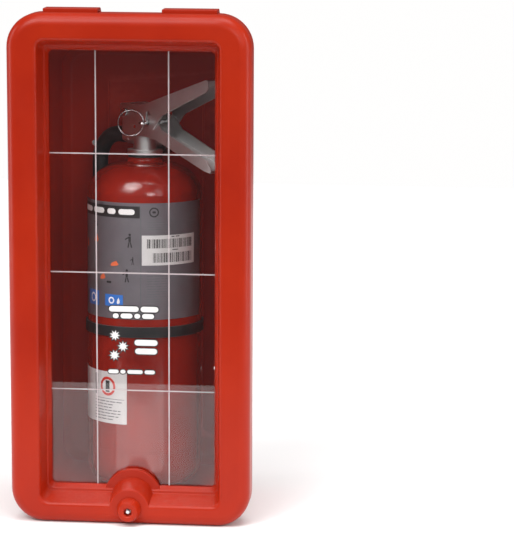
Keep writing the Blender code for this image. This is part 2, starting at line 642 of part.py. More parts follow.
def make_body(leaning, room):
    red = finish_material(RED, 0.38, 0)
    body = add_object("cabinet_body", lofted("cabinet_body", body_rings()), room, red)

    tab_top = COVER_TOP + TAB_RISE + TAB_THICK
    tab_under = COVER_TOP + TAB_RISE
    tongue_end = TONGUE_START + TONGUE_THICK
    gusset = COVER_DEPTH + PARTING + 0.5 * MM
    wall_top = COVER_TOP - BODY_INSET[1] - EMBED
    foot = wall_top - TOP_WALL_FALL * (TAB_END - gusset)
    outline = [(TONGUE_START, tab_top), (TAB_FLAT_END, tab_top), (TAB_END, foot + 2 * EMBED - 0.5 * MM),
               (TAB_END, foot), (gusset, wall_top), (gusset, tab_under),
               (tongue_end, tab_under), (tongue_end, COVER_TOP - TONGUE_DROP),
               (TONGUE_START, COVER_TOP - TONGUE_DROP)]
    across = LEANING @ Matrix.Rotation(-math.pi / 2, 4, "Z") @ Matrix.Scale(-1, 4, (1, 0, 0))
    tabs = []
    for side in (-1, 1):
        tab = extruded("hook_tab", outline, side * TAB_X - TAB_WIDTH / 2, side * TAB_X + TAB_WIDTH / 2)
        tab.transform(across)
        tab.flip_normals()
        tabs.append(tab)

    rib_reach = BOTTLE_RADIUS - BOTTLE_FOOT_ROLL
    ribs = []
    for x in (-RIB_X, 0, RIB_X):
        near, far = BOTTLE_Y + rib_reach, BOTTLE_Y - rib_reach
        side = [(near, SEAT_Z), (near, floor_height(near) - EMBED), (far, floor_height(far) - EMBED), (far, SEAT_Z)]
        rib = extruded("seat_rib", side, x - RIB_WIDTH / 2, x + RIB_WIDTH / 2)
        rib.transform(Matrix.Rotation(-math.pi / 2, 4, "Z") @ Matrix.Scale(-1, 4, (1, 0, 0)))
        rib.flip_normals()
        ribs.append(rib)

    boss_radius, boss_length = BODY_BOSS
    boss_start = COVER_DEPTH + BODY_BOSS_START
    boss_end = boss_start + boss_length
    boss = rod("insert_boss", boss_radius, boss_start, boss_end, "Y", (0, 0, LOCK_Z), 24)
    web_foot = BODY_INSET[2] + SHELL_WALL - EMBED - COVER_TOP
    web = block("boss_web", (-boss_radius * 0.7, boss_start, web_foot), (boss_radius * 0.7, boss_end, LOCK_Z))
    for data in (boss, web):
        data.transform(LEANING)
    join(body, *tabs, *ribs, boss, web)

    insert_radius = STUD_RADIUS + STUD_CLEARANCE + INSERT_WALL
    socket = rod("insert_socket", insert_radius + GAP, boss_start - PAST, boss_end + PAST, "Y", (0, 0, LOCK_Z), 20)
    socket.transform(LEANING)
    holes = [rod("mount_hole", MOUNT_HOLE, -2 * SHELL_WALL, PAST, "Y", (x, 0, z), 16)
             for x in (-MOUNT_HOLE_X, MOUNT_HOLE_X) for z in (-MOUNT_HOLE_Z, MOUNT_HOLE_Z)]
    cut(body, socket, *holes)

    lay = Matrix.Translation((0, 0, LOCK_Z)) @ Matrix.Rotation(-math.pi / 2, 4, "X")
    bore = STUD_RADIUS + STUD_CLEARANCE
    profile = [(insert_radius, boss_start), (insert_radius, boss_end), (bore, boss_end), (bore, boss_start)]
    add_object("threaded_insert", turned("threaded_insert", profile, 20, lay), leaning,
               finish_material(BRASS, 0.35, 1))


# ---------------------------------------------------------------- bottle

def bottle_profile(inward=0.0):
    """Outside of the bottle from the middle of its base to its shoulder; inward gives the inside."""
    radius = BOTTLE_RADIUS - inward
    foot = BOTTLE_FOOT_ROLL - inward
    centre = BOTTLE_RADIUS - BOTTLE_FOOT_ROLL
    points = [(0, 5 * MM + inward), (centre * 0.6, 4 * MM + inward)]
    for step in range(5):
        angle = math.radians(22.5 * step)
        points.append((centre + foot * math.sin(angle), BOTTLE_FOOT_ROLL - foot * math.cos(angle)))
    neck = NECK_RADIUS - inward
    for step in range(6):
        angle = math.radians(16 * step)
        points.append((neck + (radius - neck) * math.cos(angle),
                       BOTTLE_SHOULDER + (BOTTLE_DOME - inward) * math.sin(angle)))
    return points


def label_arc(heights, steps, inner):
    """A thin plate bent along the sides of the bottle, from one step angle to another."""
    low, high = heights
    first, last = steps
    bm = bmesh.new()
    outer = inner + LABEL_THICK
    corners = [bm.verts.new(Vector((radius, 0, height))) for radius, height in
               ((inner, low), (outer, low), (outer, high), (inner, high))]
    face = bm.faces.new(corners)
    turn = 2 * math.pi / BOTTLE_SIDES
    bmesh.ops.rotate(bm, verts=bm.verts, cent=(0, 0, 0), matrix=Matrix.Rotation(first * turn - math.pi / 2, 3, "Z"))
    bmesh.ops.spin(bm, geom=[face], axis=(0, 0, 1), cent=(0, 0, 0), angle=(last - first) * turn,
                   steps=last - first)
    return mesh_of("label", bm)


def make_bottle(standing):
    red = finish_material(RED, 0.25, 0)
    bore = THREAD_RADIUS + GAP
    outside = bottle_profile()
    outside += [(NECK_RADIUS, BOTTLE_SHOULDER + BOTTLE_DOME), (NECK_RADIUS, NECK_TOP), (bore, NECK_TOP)]
    inside = bottle_profile(BOTTLE_WALL)
    inside = inside[:-1] + [(bore, BOTTLE_SHOULDER + BOTTLE_DOME - BOTTLE_WALL)]
    add_object("cylinder_shell", turned("cylinder_shell", outside + inside[::-1], BOTTLE_SIDES), standing, red)

    well = SIPHON_RADIUS + GAP
    fill = [point for point in bottle_profile(BOTTLE_WALL + GAP) if point[1] < BOTTLE_SHOULDER / 2]
    base = fill[0][1]
    profile = [(well, base)] + fill[1:] + [(BOTTLE_RADIUS - BOTTLE_WALL - GAP, FILL_HEIGHT), (well, FILL_HEIGHT)]
    add_object("powder_charge", turned("powder_charge", profile, BOTTLE_SIDES), standing,
               finish_material((0.75, 0.68, 0.45), 0.9, 0))

    surface = BOTTLE_RADIUS + GAP
    paper = finish_material(SILVER, 0.4, 0)
    white = finish_material(WHITE, 0.5, 0)
    add_object("instruction_label", label_arc(*INSTRUCTION_LABEL, surface), standing, paper)
    add_object("lower_label", label_arc(*LOWER_LABEL, surface), standing, white)
    add_object("bar_sticker", label_arc(*BAR_STICKER, surface + LABEL_THICK + GAP), standing, white)

    low, high = STRAP_HEIGHTS
    outer = surface + STRAP_THICK
    strap = [(surface, low), (outer, low), (outer, high), (surface, high)]
    black = finish_material(BLACK, 0.5, 0)
    add_object("hose_strap", turned("hose_strap", strap, BOTTLE_SIDES), standing, black)
    clip_inner = HOSE_RADIUS + GAP
    clip_outer = clip_inner + 1.8 * MM
    ring = [(clip_inner, low), (clip_outer, low), (clip_outer, high), (clip_inner, high)]
    clip = add_object("hose_clip", turned("hose_clip", ring, 24, Matrix.Translation((-HOSE_OFFSET, 0, 0))),
                      standing, black)
    mouth = HOSE_OFFSET - clip_inner + CLIP_MOUTH
    cut(clip, rod("strap_room", mouth, low - PAST, high + PAST, "Z", sides=BOTTLE_SIDES))


# ---------------------------------------------------------------- valve

def make_valve(standing):
    nickel = finish_material(NICKEL, 0.2, 1)
    black = finish_material(BLACK, 0.5, 0)
    flange_radius, flange_thick = VALVE_FLANGE
    flange_base = NECK_TOP + SEAL_RING + 2 * GAP
    flange_top = flange_base + flange_thick
    thread_bottom = NECK_TOP - THREAD_LENGTH
    taper = 0.5 * MM
    profile = [(0, thread_bottom), (THREAD_RADIUS, thread_bottom), (THREAD_RADIUS, flange_base),
               (flange_radius, flange_base), (flange_radius, flange_top), (VALVE_RADIUS, flange_top),
               (VALVE_RADIUS, GAUGE_HEIGHT), (VALVE_RADIUS - taper, VALVE_TOP - 2 * taper),
               (VALVE_RADIUS - 3 * taper, VALVE_TOP), (0, VALVE_TOP)]
    valve = add_object("valve_body", turned("valve_body", profile, 32), standing, nickel)
    outlet_radius, outlet_reach = OUTLET_BOSS
    gauge_radius, gauge_reach = GAUGE_BOSS
    join(valve, rod("outlet_boss", outlet_radius, -outlet_reach, -VALVE_RADIUS / 2, "X", (0, 0, OUTLET_HEIGHT), 24),
         rod("gauge_boss", gauge_radius, VALVE_RADIUS / 2, gauge_reach, "Y", (0, 0, GAUGE_HEIGHT), 20))
    cut(valve, rod("spring_chamber", CHAMBER_RADIUS, thread_bottom - PAST, SEAT_HEIGHT),
        rod("passage", PASSAGE_RADIUS, SEAT_HEIGHT - PAST, PASSAGE_TOP),
        rod("stem_guide", STEM_RADIUS + STEM_CLEARANCE, PASSAGE_TOP - PAST, VALVE_TOP + PAST, sides=12),
        rod("outlet_thread", OUTLET_BORE, -outlet_reach - PAST, -PASSAGE_RADIUS - MM, "X", (0, 0, OUTLET_HEIGHT)),
        rod("outlet_port", OUTLET_BORE / 2, -VALVE_RADIUS, 0, "X", (0, 0, OUTLET_HEIGHT), 12),
        rod("gauge_port", GAUGE_STEM + GAP, 0, gauge_reach + PAST, "Y", (0, 0, GAUGE_HEIGHT), 12),
        rod("rivet_hole", RIVET_RADIUS + GAP, RIVET_DEPTH, VALVE_RADIUS + PAST, "Y", RIVET_AT, 12),
        rod("rivet_hole", RIVET_RADIUS + GAP, -VALVE_RADIUS - PAST, -RIVET_DEPTH, "Y", RIVET_AT, 12))

    ring_base = NECK_TOP + GAP
    seal = [(THREAD_RADIUS + GAP, ring_base), (NECK_RADIUS - MM, ring_base),
            (NECK_RADIUS - MM, ring_base + SEAL_RING), (THREAD_RADIUS + GAP, ring_base + SEAL_RING)]
    add_object("neck_seal", turned("neck_seal", seal, 32), standing, black)

    inner = SIPHON_RADIUS - SIPHON_WALL
    tube = [(inner, SIPHON_BOTTOM), (SIPHON_RADIUS, SIPHON_BOTTOM), (SIPHON_RADIUS, SIPHON_TOP), (inner, SIPHON_TOP)]
    add_object("siphon_tube", turned("siphon_tube", tube, 16), standing, finish_material(BLACK, 0.6, 0))


def stem_heights():
    """Bottom and top of the disc, and top of the stem, with the valve shut."""
    disc_top = SEAT_HEIGHT - STEM_SEAL - 2 * GAP
    return disc_top - STEM_DISC[1], disc_top, lever_under() - GAP


def lever_under():
    """Underside of the lever's web over the stem."""
    return PIVOT[1] + LEVER_RISE


def make_stem(standing):
    disc_radius, _ = STEM_DISC
    disc_bottom, disc_top, stem_top = stem_heights()
    profile = [(0, disc_bottom), (disc_radius, disc_bottom), (disc_radius, disc_top), (STEM_RADIUS, disc_top),
               (STEM_RADIUS, stem_top - 0.6 * MM), (STEM_RADIUS * 0.6, stem_top), (0, stem_top)]
    add_object("valve_stem", turned("valve_stem", profile, 12), standing, finish_material(BRASS, 0.3, 1))
    seal_base = disc_top + GAP
    hole = STEM_RADIUS + STEM_CLEARANCE
    ring = [(hole, seal_base), (disc_radius, seal_base), (disc_radius, seal_base + STEM_SEAL),
            (hole, seal_base + STEM_SEAL)]
    add_object("stem_seal", turned("stem_seal", ring, 12), standing, finish_material(BLACK, 0.7, 0))

    base = SIPHON_TOP + SPRING_WIRE + GAP
    rise = disc_bottom - GAP - SPRING_WIRE - base
    steps = SPRING_TURNS * 12
    coil = []
    for step in range(steps + 1):
        angle = 2 * math.pi * step / 12
        coil.append((SPRING_RADIUS * math.cos(angle), SPRING_RADIUS * math.sin(angle), base + rise * step / steps))
    add_object("valve_spring", wire("valve_spring", coil, SPRING_WIRE, sides=1), standing,
               finish_material(STEEL, 0.3, 1))


# ---------------------------------------------------------------- levers and pin

CHEEK_INNER = VALVE_RADIUS + CHEEK_GAP
CHEEK_OUTER = CHEEK_INNER + SHEET
FLANGE_INNER = CHEEK_OUTER + LEVER_SIDE_GAP
FLANGE_OUTER = FLANGE_INNER + SHEET


def arc_points(centre, radius, start, end, steps):
    angles = [math.radians(start + (end - start) * step / steps) for step in range(steps + 1)]
    return [(centre[0] + radius * math.cos(a), centre[1] + radius * math.sin(a)) for a in angles]


def pivot_hole(name="pivot_hole"):
    return rod(name, PIVOT_RADIUS + PIN_CLEARANCE, -2 * FLANGE_OUTER, 2 * FLANGE_OUTER, "Y",
               (PIVOT[0], 0, PIVOT[1]), 16)


def make_handle(standing):
    """The fixed handle: a channel open at the top, with two cheeks that hold the valve and the pivot."""
    nickel = finish_material(NICKEL, 0.25, 1)
    tip_x, tip_z = HANDLE_TIP
    cheek_floor = GAUGE_HEIGHT + GAUGE_BOSS[0] + MM
    outline = arc_points(PIVOT, HANDLE_EYE, 90, 180, 4)
    outline += [(PIVOT[0] - HANDLE_EYE, cheek_floor), (14 * MM, cheek_floor), HANDLE_HEEL,
                (tip_x - 9 * MM, tip_z + 2 * MM), HANDLE_TIP, (tip_x + MM, tip_z + 3 * MM),
                (tip_x - 6 * MM, tip_z + 12 * MM), *HANDLE_CREST]
    handle = add_object("carry_handle", extruded("carry_handle", outline, -CHEEK_OUTER, CHEEK_OUTER),
                        standing, nickel)
    channel = [(-40 * MM, cheek_floor - 10 * MM), (14 * MM, cheek_floor - 10 * MM), (14 * MM, cheek_floor + SHEET),
               (HANDLE_HEEL[0] + 0.6 * MM, HANDLE_HEEL[1] + SHEET), (tip_x - 8 * MM, tip_z + 2 * MM + SHEET),
               (tip_x + 10 * MM, tip_z + SHEET), (tip_x + 10 * MM, tip_z + 86 * MM), (-40 * MM, tip_z + 86 * MM)]
    screw_hole = rod("screw_hole", RIVET_RADIUS + GAP, -2 * CHEEK_OUTER, 2 * CHEEK_OUTER, "Y", RIVET_AT, 12)
    pin_hole = rod("pin_hole", PULL_PIN_RADIUS + PIN_CLEARANCE, -2 * CHEEK_OUTER, 2 * CHEEK_OUTER, "Y",
                   (PULL_PIN[0], 0, PULL_PIN[1]), 16)
    cut(handle, extruded("channel", channel, -CHEEK_INNER, CHEEK_INNER), pivot_hole(), screw_hole, pin_hole)

    for number, side in ((1, -1), (2, 1)):
        head = CHEEK_OUTER + GAP
        profile = [(0, RIVET_DEPTH + GAP), (RIVET_RADIUS, RIVET_DEPTH + GAP), (RIVET_RADIUS, head),
                   (0, head)]
        lay = Matrix.Translation(RIVET_AT) @ Matrix.Rotation(-side * math.pi / 2, 4, "X")
        add_object("handle_rivet_%d" % number, turned("handle_rivet", profile, 12, lay), standing,
                   finish_material(STEEL, 0.3, 1))


def make_lever(standing):
    """The squeeze lever: a channel open at the bottom that straddles the handle's cheeks."""
    pivot = (PIVOT[0], 0, PIVOT[1])
    top = lever_under() + SHEET
    tip_x, tip_z = LEVER_TIP
    outline = [(-18 * MM, top), (-19 * MM, top - 3 * MM)]
    outline += arc_points(PIVOT, LEVER_EYE, 190, 260, 3)
    outline += [*LEVER_SKIRT, (tip_x - 2 * MM, tip_z - 10 * MM), (tip_x + MM, tip_z - 6 * MM), LEVER_TIP,
                (tip_x - 3 * MM, tip_z + MM), (14 * MM, top + 0.8 * MM), (8 * MM, top)]
    lever = add_object("squeeze_lever", extruded("squeeze_lever", outline, -FLANGE_OUTER, FLANGE_OUTER),
                       standing, finish_material(NICKEL, 0.25, 1), pivot)
    slope = (tip_z + MM - top - 0.8 * MM) / (tip_x - 17 * MM)
    under = lever_under()
    reach = tip_x + 10 * MM
    channel = [(-40 * MM, under), (8.3 * MM, under), (14.3 * MM, under + 0.8 * MM),
               (reach, under + 0.8 * MM + slope * (reach - 14.3 * MM)), (reach, 320 * MM), (-40 * MM, 320 * MM)]
    slot_radius = PULL_PIN_RADIUS + 2 * PIN_CLEARANCE
    slot_end = Matrix.Rotation(LEVER_SWING, 2) @ (Vector(PULL_PIN) - Vector(PIVOT)) + Vector(PIVOT)
    slot = arc_points(PULL_PIN, slot_radius, 180, 360, 6) + arc_points(slot_end, slot_radius, 0, 180, 6)
    cut(lever, extruded("channel", channel, -FLANGE_INNER, FLANGE_INNER), pivot_hole(),
        extruded("pin_slot", slot, -2 * FLANGE_OUTER, 2 * FLANGE_OUTER))

    shaft = FLANGE_OUTER + GAP
    head = shaft + 1.5 * MM
    profile = [(0, -head), (3.8 * MM, -head), (3.8 * MM, -shaft), (PIVOT_RADIUS, -shaft), (PIVOT_RADIUS, shaft),
               (3.8 * MM, shaft), (3.8 * MM, head), (0, head)]
    lay = Matrix.Translation(pivot) @ Matrix.Rotation(-math.pi / 2, 4, "X")
    add_object("lever_pivot_pin", turned("lever_pivot_pin", profile, 16, lay), standing,
               finish_material(STEEL, 0.3, 1))


def make_pull_pin(standing):
    x, z = PULL_PIN
    tip = FLANGE_OUTER + PULL_PIN_TIP
    eye = -(FLANGE_OUTER + MM + EYE_RADIUS + EYE_WIRE)
    steel = finish_material(STEEL, 0.25, 1)
    pin = add_object("pull_pin", rod("pull_pin", PULL_PIN_RADIUS, eye + EYE_RADIUS, tip, "Y", (x, 0, z), 12),
                     standing, steel, (x, eye, z))
    torus = turned("eye", [(EYE_RADIUS + EYE_WIRE * math.cos(a), EYE_WIRE * math.sin(a))
                           for a in (2 * math.pi * step / 8 for step in range(8))], 16,
                   Matrix.Translation((x, eye, z)))
    join(pin, torus)

    away = Matrix.Rotation(-BOTTLE_YAW, 4, "Z") @ Vector((-1, 0, 0))
    centre = Vector((x, eye, z)) + RING_RADIUS * away
    points = []
    for step in range(32):
        angle = 2 * math.pi * step / 32
        points.append(centre + RING_RADIUS * (math.cos(angle) * away + math.sin(angle) * Vector((0, 0, 1))))
    add_object("pull_ring", wire("pull_ring", points, RING_WIRE, cyclic=True), standing, steel, (x, eye, z))


# ---------------------------------------------------------------- gauge

def make_gauge(standing):
    """A pressure gauge that faces +Y, behind the valve."""
    back = GAUGE_BOSS[1] + GAP
    plate = back + 2 * MM
    rim = back + GAUGE_DEPTH
    axis = (0, 0, GAUGE_HEIGHT)
    lay = Matrix.Translation(axis) @ Matrix.Rotation(-math.pi / 2, 4, "X")
    bowl = GAUGE_RADIUS - GAUGE_WALL
    steel = finish_material(STEEL, 0.25, 1)
    case = [(0, PASSAGE_RADIUS + 2 * MM), (GAUGE_STEM, PASSAGE_RADIUS + 2 * MM), (GAUGE_STEM, back),
            (GAUGE_RADIUS - MM, back), (GAUGE_RADIUS, back + MM), (GAUGE_RADIUS, rim), (bowl, rim), (bowl, plate),
            (0, plate)]
    add_object("gauge_case", turned("gauge_case", case, 28, lay), standing, steel)
    inside = bowl - GAP
    dial = plate + DIAL_DEPTH
    plain = finish_material(WHITE, 0.4, 0)
    for name, start, thick, radius, finish in (
            ("gauge_dial", dial, 0.6 * MM, inside, plain),
            ("gauge_lens", rim - 1.8 * MM, 1.2 * MM, inside, finish_material((0.9, 0.9, 0.9), 0.05, 0, 0.3))):
        add_object(name, rod(name, radius, start, start + thick, "Y", axis, 28), standing, finish)
    needle_base = dial + 0.6 * MM + GAP
    half = 0.7 * MM
    outline = arc_points((0, 0), 1.6 * MM, 150, 390, 8) + [(half / 2, NEEDLE_LENGTH), (-half / 2, NEEDLE_LENGTH)]
    needle = extruded("gauge_needle", outline, needle_base, needle_base + 0.5 * MM, Matrix.Translation(axis))
    add_object("gauge_needle", needle, standing, finish_material(BLACK, 0.4, 0), (0, needle_base, GAUGE_HEIGHT))
    coil = []
    for step in range(19):
        angle = math.radians(-60 + 15 * step)
        coil.append((7 * MM * math.cos(angle), plate + DIAL_DEPTH / 2, GAUGE_HEIGHT + 7 * MM * math.sin(angle)))
    add_object("bourdon_tube", wire("bourdon_tube", coil, 1.2 * MM, sides=1), standing,
               finish_material(BRASS, 0.3, 1))


# ---------------------------------------------------------------- hose

def make_hose(standing):
    black = finish_material(BLACK, 0.55, 0)
    coupling_radius, coupling_length = COUPLING
    boss_end = -OUTLET_BOSS[1]
    coupling_end = boss_end - GAP - coupling_length
    stub = OUTLET_BORE - GAP
    bore = OUTLET_BORE / 2
    # The coupling is turned about Z and then laid along -X.
    profile = [(bore, PASSAGE_RADIUS + 2 * MM), (stub, PASSAGE_RADIUS + 2 * MM), (stub, GAP - boss_end),
               (coupling_radius, GAP - boss_end), (coupling_radius, -coupling_end), (bore, -coupling_end)]
    lay = Matrix.Translation((0, 0, OUTLET_HEIGHT)) @ Matrix.Rotation(-math.pi / 2, 4, "Y")
    add_object("hose_coupling", turned("hose_coupling", profile, 6, lay), standing, finish_material(NICKEL, 0.3, 1))

    start = coupling_end - GAP
    bend_start = HOSE_BEND - HOSE_OFFSET
    points = [(start, 0, OUTLET_HEIGHT)]
    for step in range(11):
        angle = math.radians(90 + 9 * step)
        points.append((bend_start + HOSE_BEND * math.cos(angle), 0,
                       OUTLET_HEIGHT - HOSE_BEND + HOSE_BEND * math.sin(angle)))
    points += [(-HOSE_OFFSET, 0, 240 * MM), (-HOSE_OFFSET, 0, 180 * MM), (-HOSE_OFFSET, 0, HOSE_END)]
    add_object("discharge_hose", wire("discharge_hose", points, HOSE_RADIUS, sides=4), standing, black)

    inner = HOSE_RADIUS + GAP
    outer = inner + FERRULE_WALL
    ferrule_low = HOSE_END + 2 * MM
    ring = [(inner, ferrule_low), (outer, ferrule_low), (outer, ferrule_low + FERRULE_LENGTH),
            (inner, ferrule_low + FERRULE_LENGTH)]
    hang = Matrix.Translation((-HOSE_OFFSET, 0, 0))
    add_object("nozzle_ferrule", turned("nozzle_ferrule", ring, 20, hang), standing, finish_material(STEEL, 0.3, 1))
    top_radius, tip_radius = NOZZLE_RADII
    top = HOSE_END - GAP
    nozzle = [(0, top), (top_radius, top), (top_radius, top - 12 * MM), (tip_radius, top - 20 * MM),
              (tip_radius, NOZZLE_BOTTOM), (NOZZLE_BORE, NOZZLE_BOTTOM), (NOZZLE_BORE, top - 30 * MM), (0, top - 30 * MM)]
    add_object("nozzle", turned("nozzle", nozzle, 20, hang), standing, black)


# ---------------------------------------------------------------- build

def main():
    clear_scene()
    room = empty("room", Matrix())
    leaning = empty("leaning_front", LEANING)
    standing = empty("standing_bottle", STANDING)
    make_body(leaning, room)
    make_cover(leaning)
    make_panel(leaning)
    make_clips(leaning)
    make_lock(leaning)
    make_bottle(standing)
    make_valve(standing)
    make_stem(standing)
    make_handle(standing)
    make_lever(standing)
    make_pull_pin(standing)
    make_gauge(standing)
    make_hose(standing)


main()
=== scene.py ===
"""The looks of a small dry-powder fire extinguisher that stands in a moulded wall cabinet.

Metres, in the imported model's frame: the wall is at y = 0, +Y goes into it and +Z is up. The cover's
pieces are drawn in the leaning frame of the cover: Y is the depth behind its front face and Z the
height above its middle. The extinguisher's pieces are drawn in the frame of the bottle: Z is the height
above its base, its labels start at -Y and its levers point along +X.
"""
import json
import math
import random

import bmesh
import bpy
from mathutils import Matrix, Vector
from mathutils.bvhtree import BVHTree


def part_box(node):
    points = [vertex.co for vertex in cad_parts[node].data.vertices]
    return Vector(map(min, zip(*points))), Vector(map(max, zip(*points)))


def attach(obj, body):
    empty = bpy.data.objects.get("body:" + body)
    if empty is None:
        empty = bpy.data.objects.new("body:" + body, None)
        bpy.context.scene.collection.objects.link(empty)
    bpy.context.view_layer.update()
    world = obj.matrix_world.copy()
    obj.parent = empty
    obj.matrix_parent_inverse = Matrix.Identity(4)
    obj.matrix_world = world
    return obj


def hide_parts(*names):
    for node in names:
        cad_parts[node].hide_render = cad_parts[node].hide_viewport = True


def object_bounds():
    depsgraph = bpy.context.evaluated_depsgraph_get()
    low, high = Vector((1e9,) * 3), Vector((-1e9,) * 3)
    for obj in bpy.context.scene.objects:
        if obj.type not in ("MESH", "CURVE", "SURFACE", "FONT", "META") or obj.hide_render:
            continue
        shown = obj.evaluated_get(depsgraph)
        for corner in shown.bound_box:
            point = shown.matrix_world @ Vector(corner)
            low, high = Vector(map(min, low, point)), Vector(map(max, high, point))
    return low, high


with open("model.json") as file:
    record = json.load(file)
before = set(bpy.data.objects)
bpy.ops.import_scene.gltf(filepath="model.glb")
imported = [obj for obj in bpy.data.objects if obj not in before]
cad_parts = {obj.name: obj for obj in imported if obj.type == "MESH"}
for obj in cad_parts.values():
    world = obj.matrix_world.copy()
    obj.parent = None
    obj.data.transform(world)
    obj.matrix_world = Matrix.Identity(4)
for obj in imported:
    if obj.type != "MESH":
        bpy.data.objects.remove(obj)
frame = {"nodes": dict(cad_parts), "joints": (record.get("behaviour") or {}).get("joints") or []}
CAD_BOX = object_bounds()

MM = 0.001
FILM = 0.06 * MM                # a printed layer
DRAWS = random.Random(11)


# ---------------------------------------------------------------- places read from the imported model

def joint(name):
    return next(entry for entry in frame["joints"] if entry["name"] == name)


def local_box(node, place):
    """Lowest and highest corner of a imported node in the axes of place."""
    back = place.inverted()
    points = [back @ vert.co for vert in frame["nodes"][node].data.vertices]
    return Vector(map(min, zip(*points))), Vector(map(max, zip(*points)))


LOCK_Z = -220 * MM
OUT = -Vector(joint("lock_turn")["axis"])
LEAN = math.atan2(OUT.z, OUT.y)
LEANING = (Matrix.Translation(joint("lock_turn")["pos_m"]) @ Matrix.Rotation(LEAN, 4, "X")
           @ Matrix.Translation((0, 0, -LOCK_Z)))
LEVER_AXIS = Vector(joint("lever_squeeze")["axis"])
SHELL_LOW, SHELL_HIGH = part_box("cylinder_shell")
STANDING = (Matrix.Translation(((SHELL_LOW.x + SHELL_HIGH.x) / 2,
                                (SHELL_LOW.y + SHELL_HIGH.y) / 2, SHELL_LOW.z))
            @ Matrix.Rotation(-math.atan2(LEVER_AXIS.x, LEVER_AXIS.y), 4, "Z"))

COVER_BOX = local_box("cover_frame", LEANING)
COVER_HALF = COVER_BOX[1].x
COVER_TOP = COVER_BOX[1].z
COVER_DEPTH = 29 * MM
CABINET_DEPTH = 195 * MM
PANEL_BOX = local_box("break_panel", LEANING)
PANEL_FRONT = PANEL_BOX[0].y

# The cover's section, as insets from its outline: sides, top, bottom
COVER_CORNER = 31 * MM
COVER_ROLL = 11 * MM
SHELL_WALL = 3 * MM
FLANGE = Vector((24.5, 20.8, 16.2)) * MM
RECESS = Vector((10.5, 14, 15.5)) * MM
OPENING_CORNER = 11 * MM
OPENING_ROLL = 4 * MM
LEDGE_SHARE = (0.62, 0.78)
LEDGE_DEPTH = 21 * MM
LIP_DEPTH = 27 * MM
LIP_LAND = 9 * MM
WINDOW_CORNER = 4 * MM
WINDOW = FLANGE + RECESS
ALL_ROUND = Vector((1, 1, 1))
CORNER_STEPS = 12
ROLL_STEPS = 8

# Lock boss: radius, and how far its centre is above the lock
BOSS_FRONT = (18.5 * MM, 0.5 * MM)
BOSS_BACK = (21 * MM, 5 * MM)
COLLAR = (27 * MM, 5.5 * MM)
COLLAR_DEPTH = 23 * MM
BOSS_CUT = 3.5 * MM

# Cabinet body
BACK_BOX = (93.5 * MM, 207 * MM)                 # half width, half height
BODY_START = 30 * MM
BODY_INSET = Vector((6, 10.5, 4.5)) * MM
RIM_INSET = Vector((2, 5, 1.5)) * MM
RIM_DEPTH = 7 * MM
BODY_CORNER = 28 * MM
BACK_CORNER = 22 * MM
BACK_ROLL = 12 * MM
SEAT_Z = -206 * MM
RIB_PLACES = (-25 * MM, 0, 25 * MM)
RIB_WIDTH = 4 * MM
MOUNT_HOLES = [(x * MM, z * MM) for x in (-60, 60) for z in (-110, 110)]
MOUNT_HOLE = 2.75 * MM
TAB_X = 54 * MM
TAB_WIDTH = 50 * MM
BODY_STEPS = 6
BOSS_GAP = 3.5 * MM                              # between the cover's back and the insert's boss
BOSS_LENGTH = 16 * MM
WALL_RIB_X = 46 * MM
WALL_RIB_HALF = 170 * MM

# Bottle and hose
BOTTLE_RADIUS = 54 * MM
BOTTLE_SHOULDER = 275 * MM
BOTTLE_DOME = 32 * MM
BOTTLE_FOOT = 20 * MM
SEAM_HEIGHTS = (36 * MM, 38 * MM)
NECK_RADIUS = 17 * MM
NECK_TOP = 311 * MM
THREAD_RADIUS = 12.5 * MM
BOTTLE_SIDES = 128
HOSE_RADIUS = 7.5 * MM
HOSE_OFFSET = 64 * MM
HOSE_BEND = 28 * MM
OUTLET_HEIGHT = 330 * MM


# ---------------------------------------------------------------- mesh tools

def mesh_of(name, bm, smooth_angle=38):
    bmesh.ops.recalc_face_normals(bm, faces=bm.faces)
    mesh = bpy.data.meshes.new(name)
    bm.to_mesh(mesh)
    bm.free()
    mesh.shade_smooth()
    mesh.set_sharp_from_angle(angle=math.radians(smooth_angle))
    return mesh


def loop_of(bm, points):
    verts = [bm.verts.new(point) for point in points]
    return [bm.edges.new((a, b)) for a, b in zip(verts, verts[1:] + verts[:1])]


def ease_edges(bm, width, angle=28, segments=3):
    """Round every edge that turns by more than angle."""
    sharp = [edge for edge in bm.edges if len(edge.link_faces) == 2
             and edge.calc_face_angle(0) > math.radians(angle)]
    bmesh.ops.bevel(bm, geom=sharp, offset=width, offset_type="OFFSET", segments=segments, profile=0.5,
                    affect="EDGES", clamp_overlap=True, material=-1)


def extruded_ring(bm, ring, points):
    """Extrude a closed ring of vertices and move the new one to points."""
    edges = [bm.edges.get(pair) for pair in zip(ring, ring[1:] + ring[:1])]
    made = set(bmesh.ops.extrude_edge_only(bm, edges=edges)["geom"])
    following = [next(edge.other_vert(vert) for edge in vert.link_edges if edge.other_vert(vert) in made)
                 for vert in ring]
    for vert, point in zip(following, points):
        vert.co = point
    return following


def skinned(name, rings, endless=False, ease=0.0):
    """A skin through rings of equally many points, capped, or closed on itself when endless."""
    bm = bmesh.new()
    ring = [bm.verts.new(point) for point in rings[0]]
    for pair in zip(ring, ring[1:] + ring[:1]):
        bm.edges.new(pair)
    if not endless:
        bmesh.ops.contextual_create(bm, geom=ring)
    for points in rings[1:] + rings[:1] * endless:
        ring = extruded_ring(bm, ring, points)
    if endless:
        bmesh.ops.remove_doubles(bm, verts=bm.verts, dist=0.001 * MM)
    else:
        bmesh.ops.contextual_create(bm, geom=ring)
    if ease:
        bmesh.ops.recalc_face_normals(bm, faces=bm.faces)
        ease_edges(bm, ease)
    return mesh_of(name, bm)


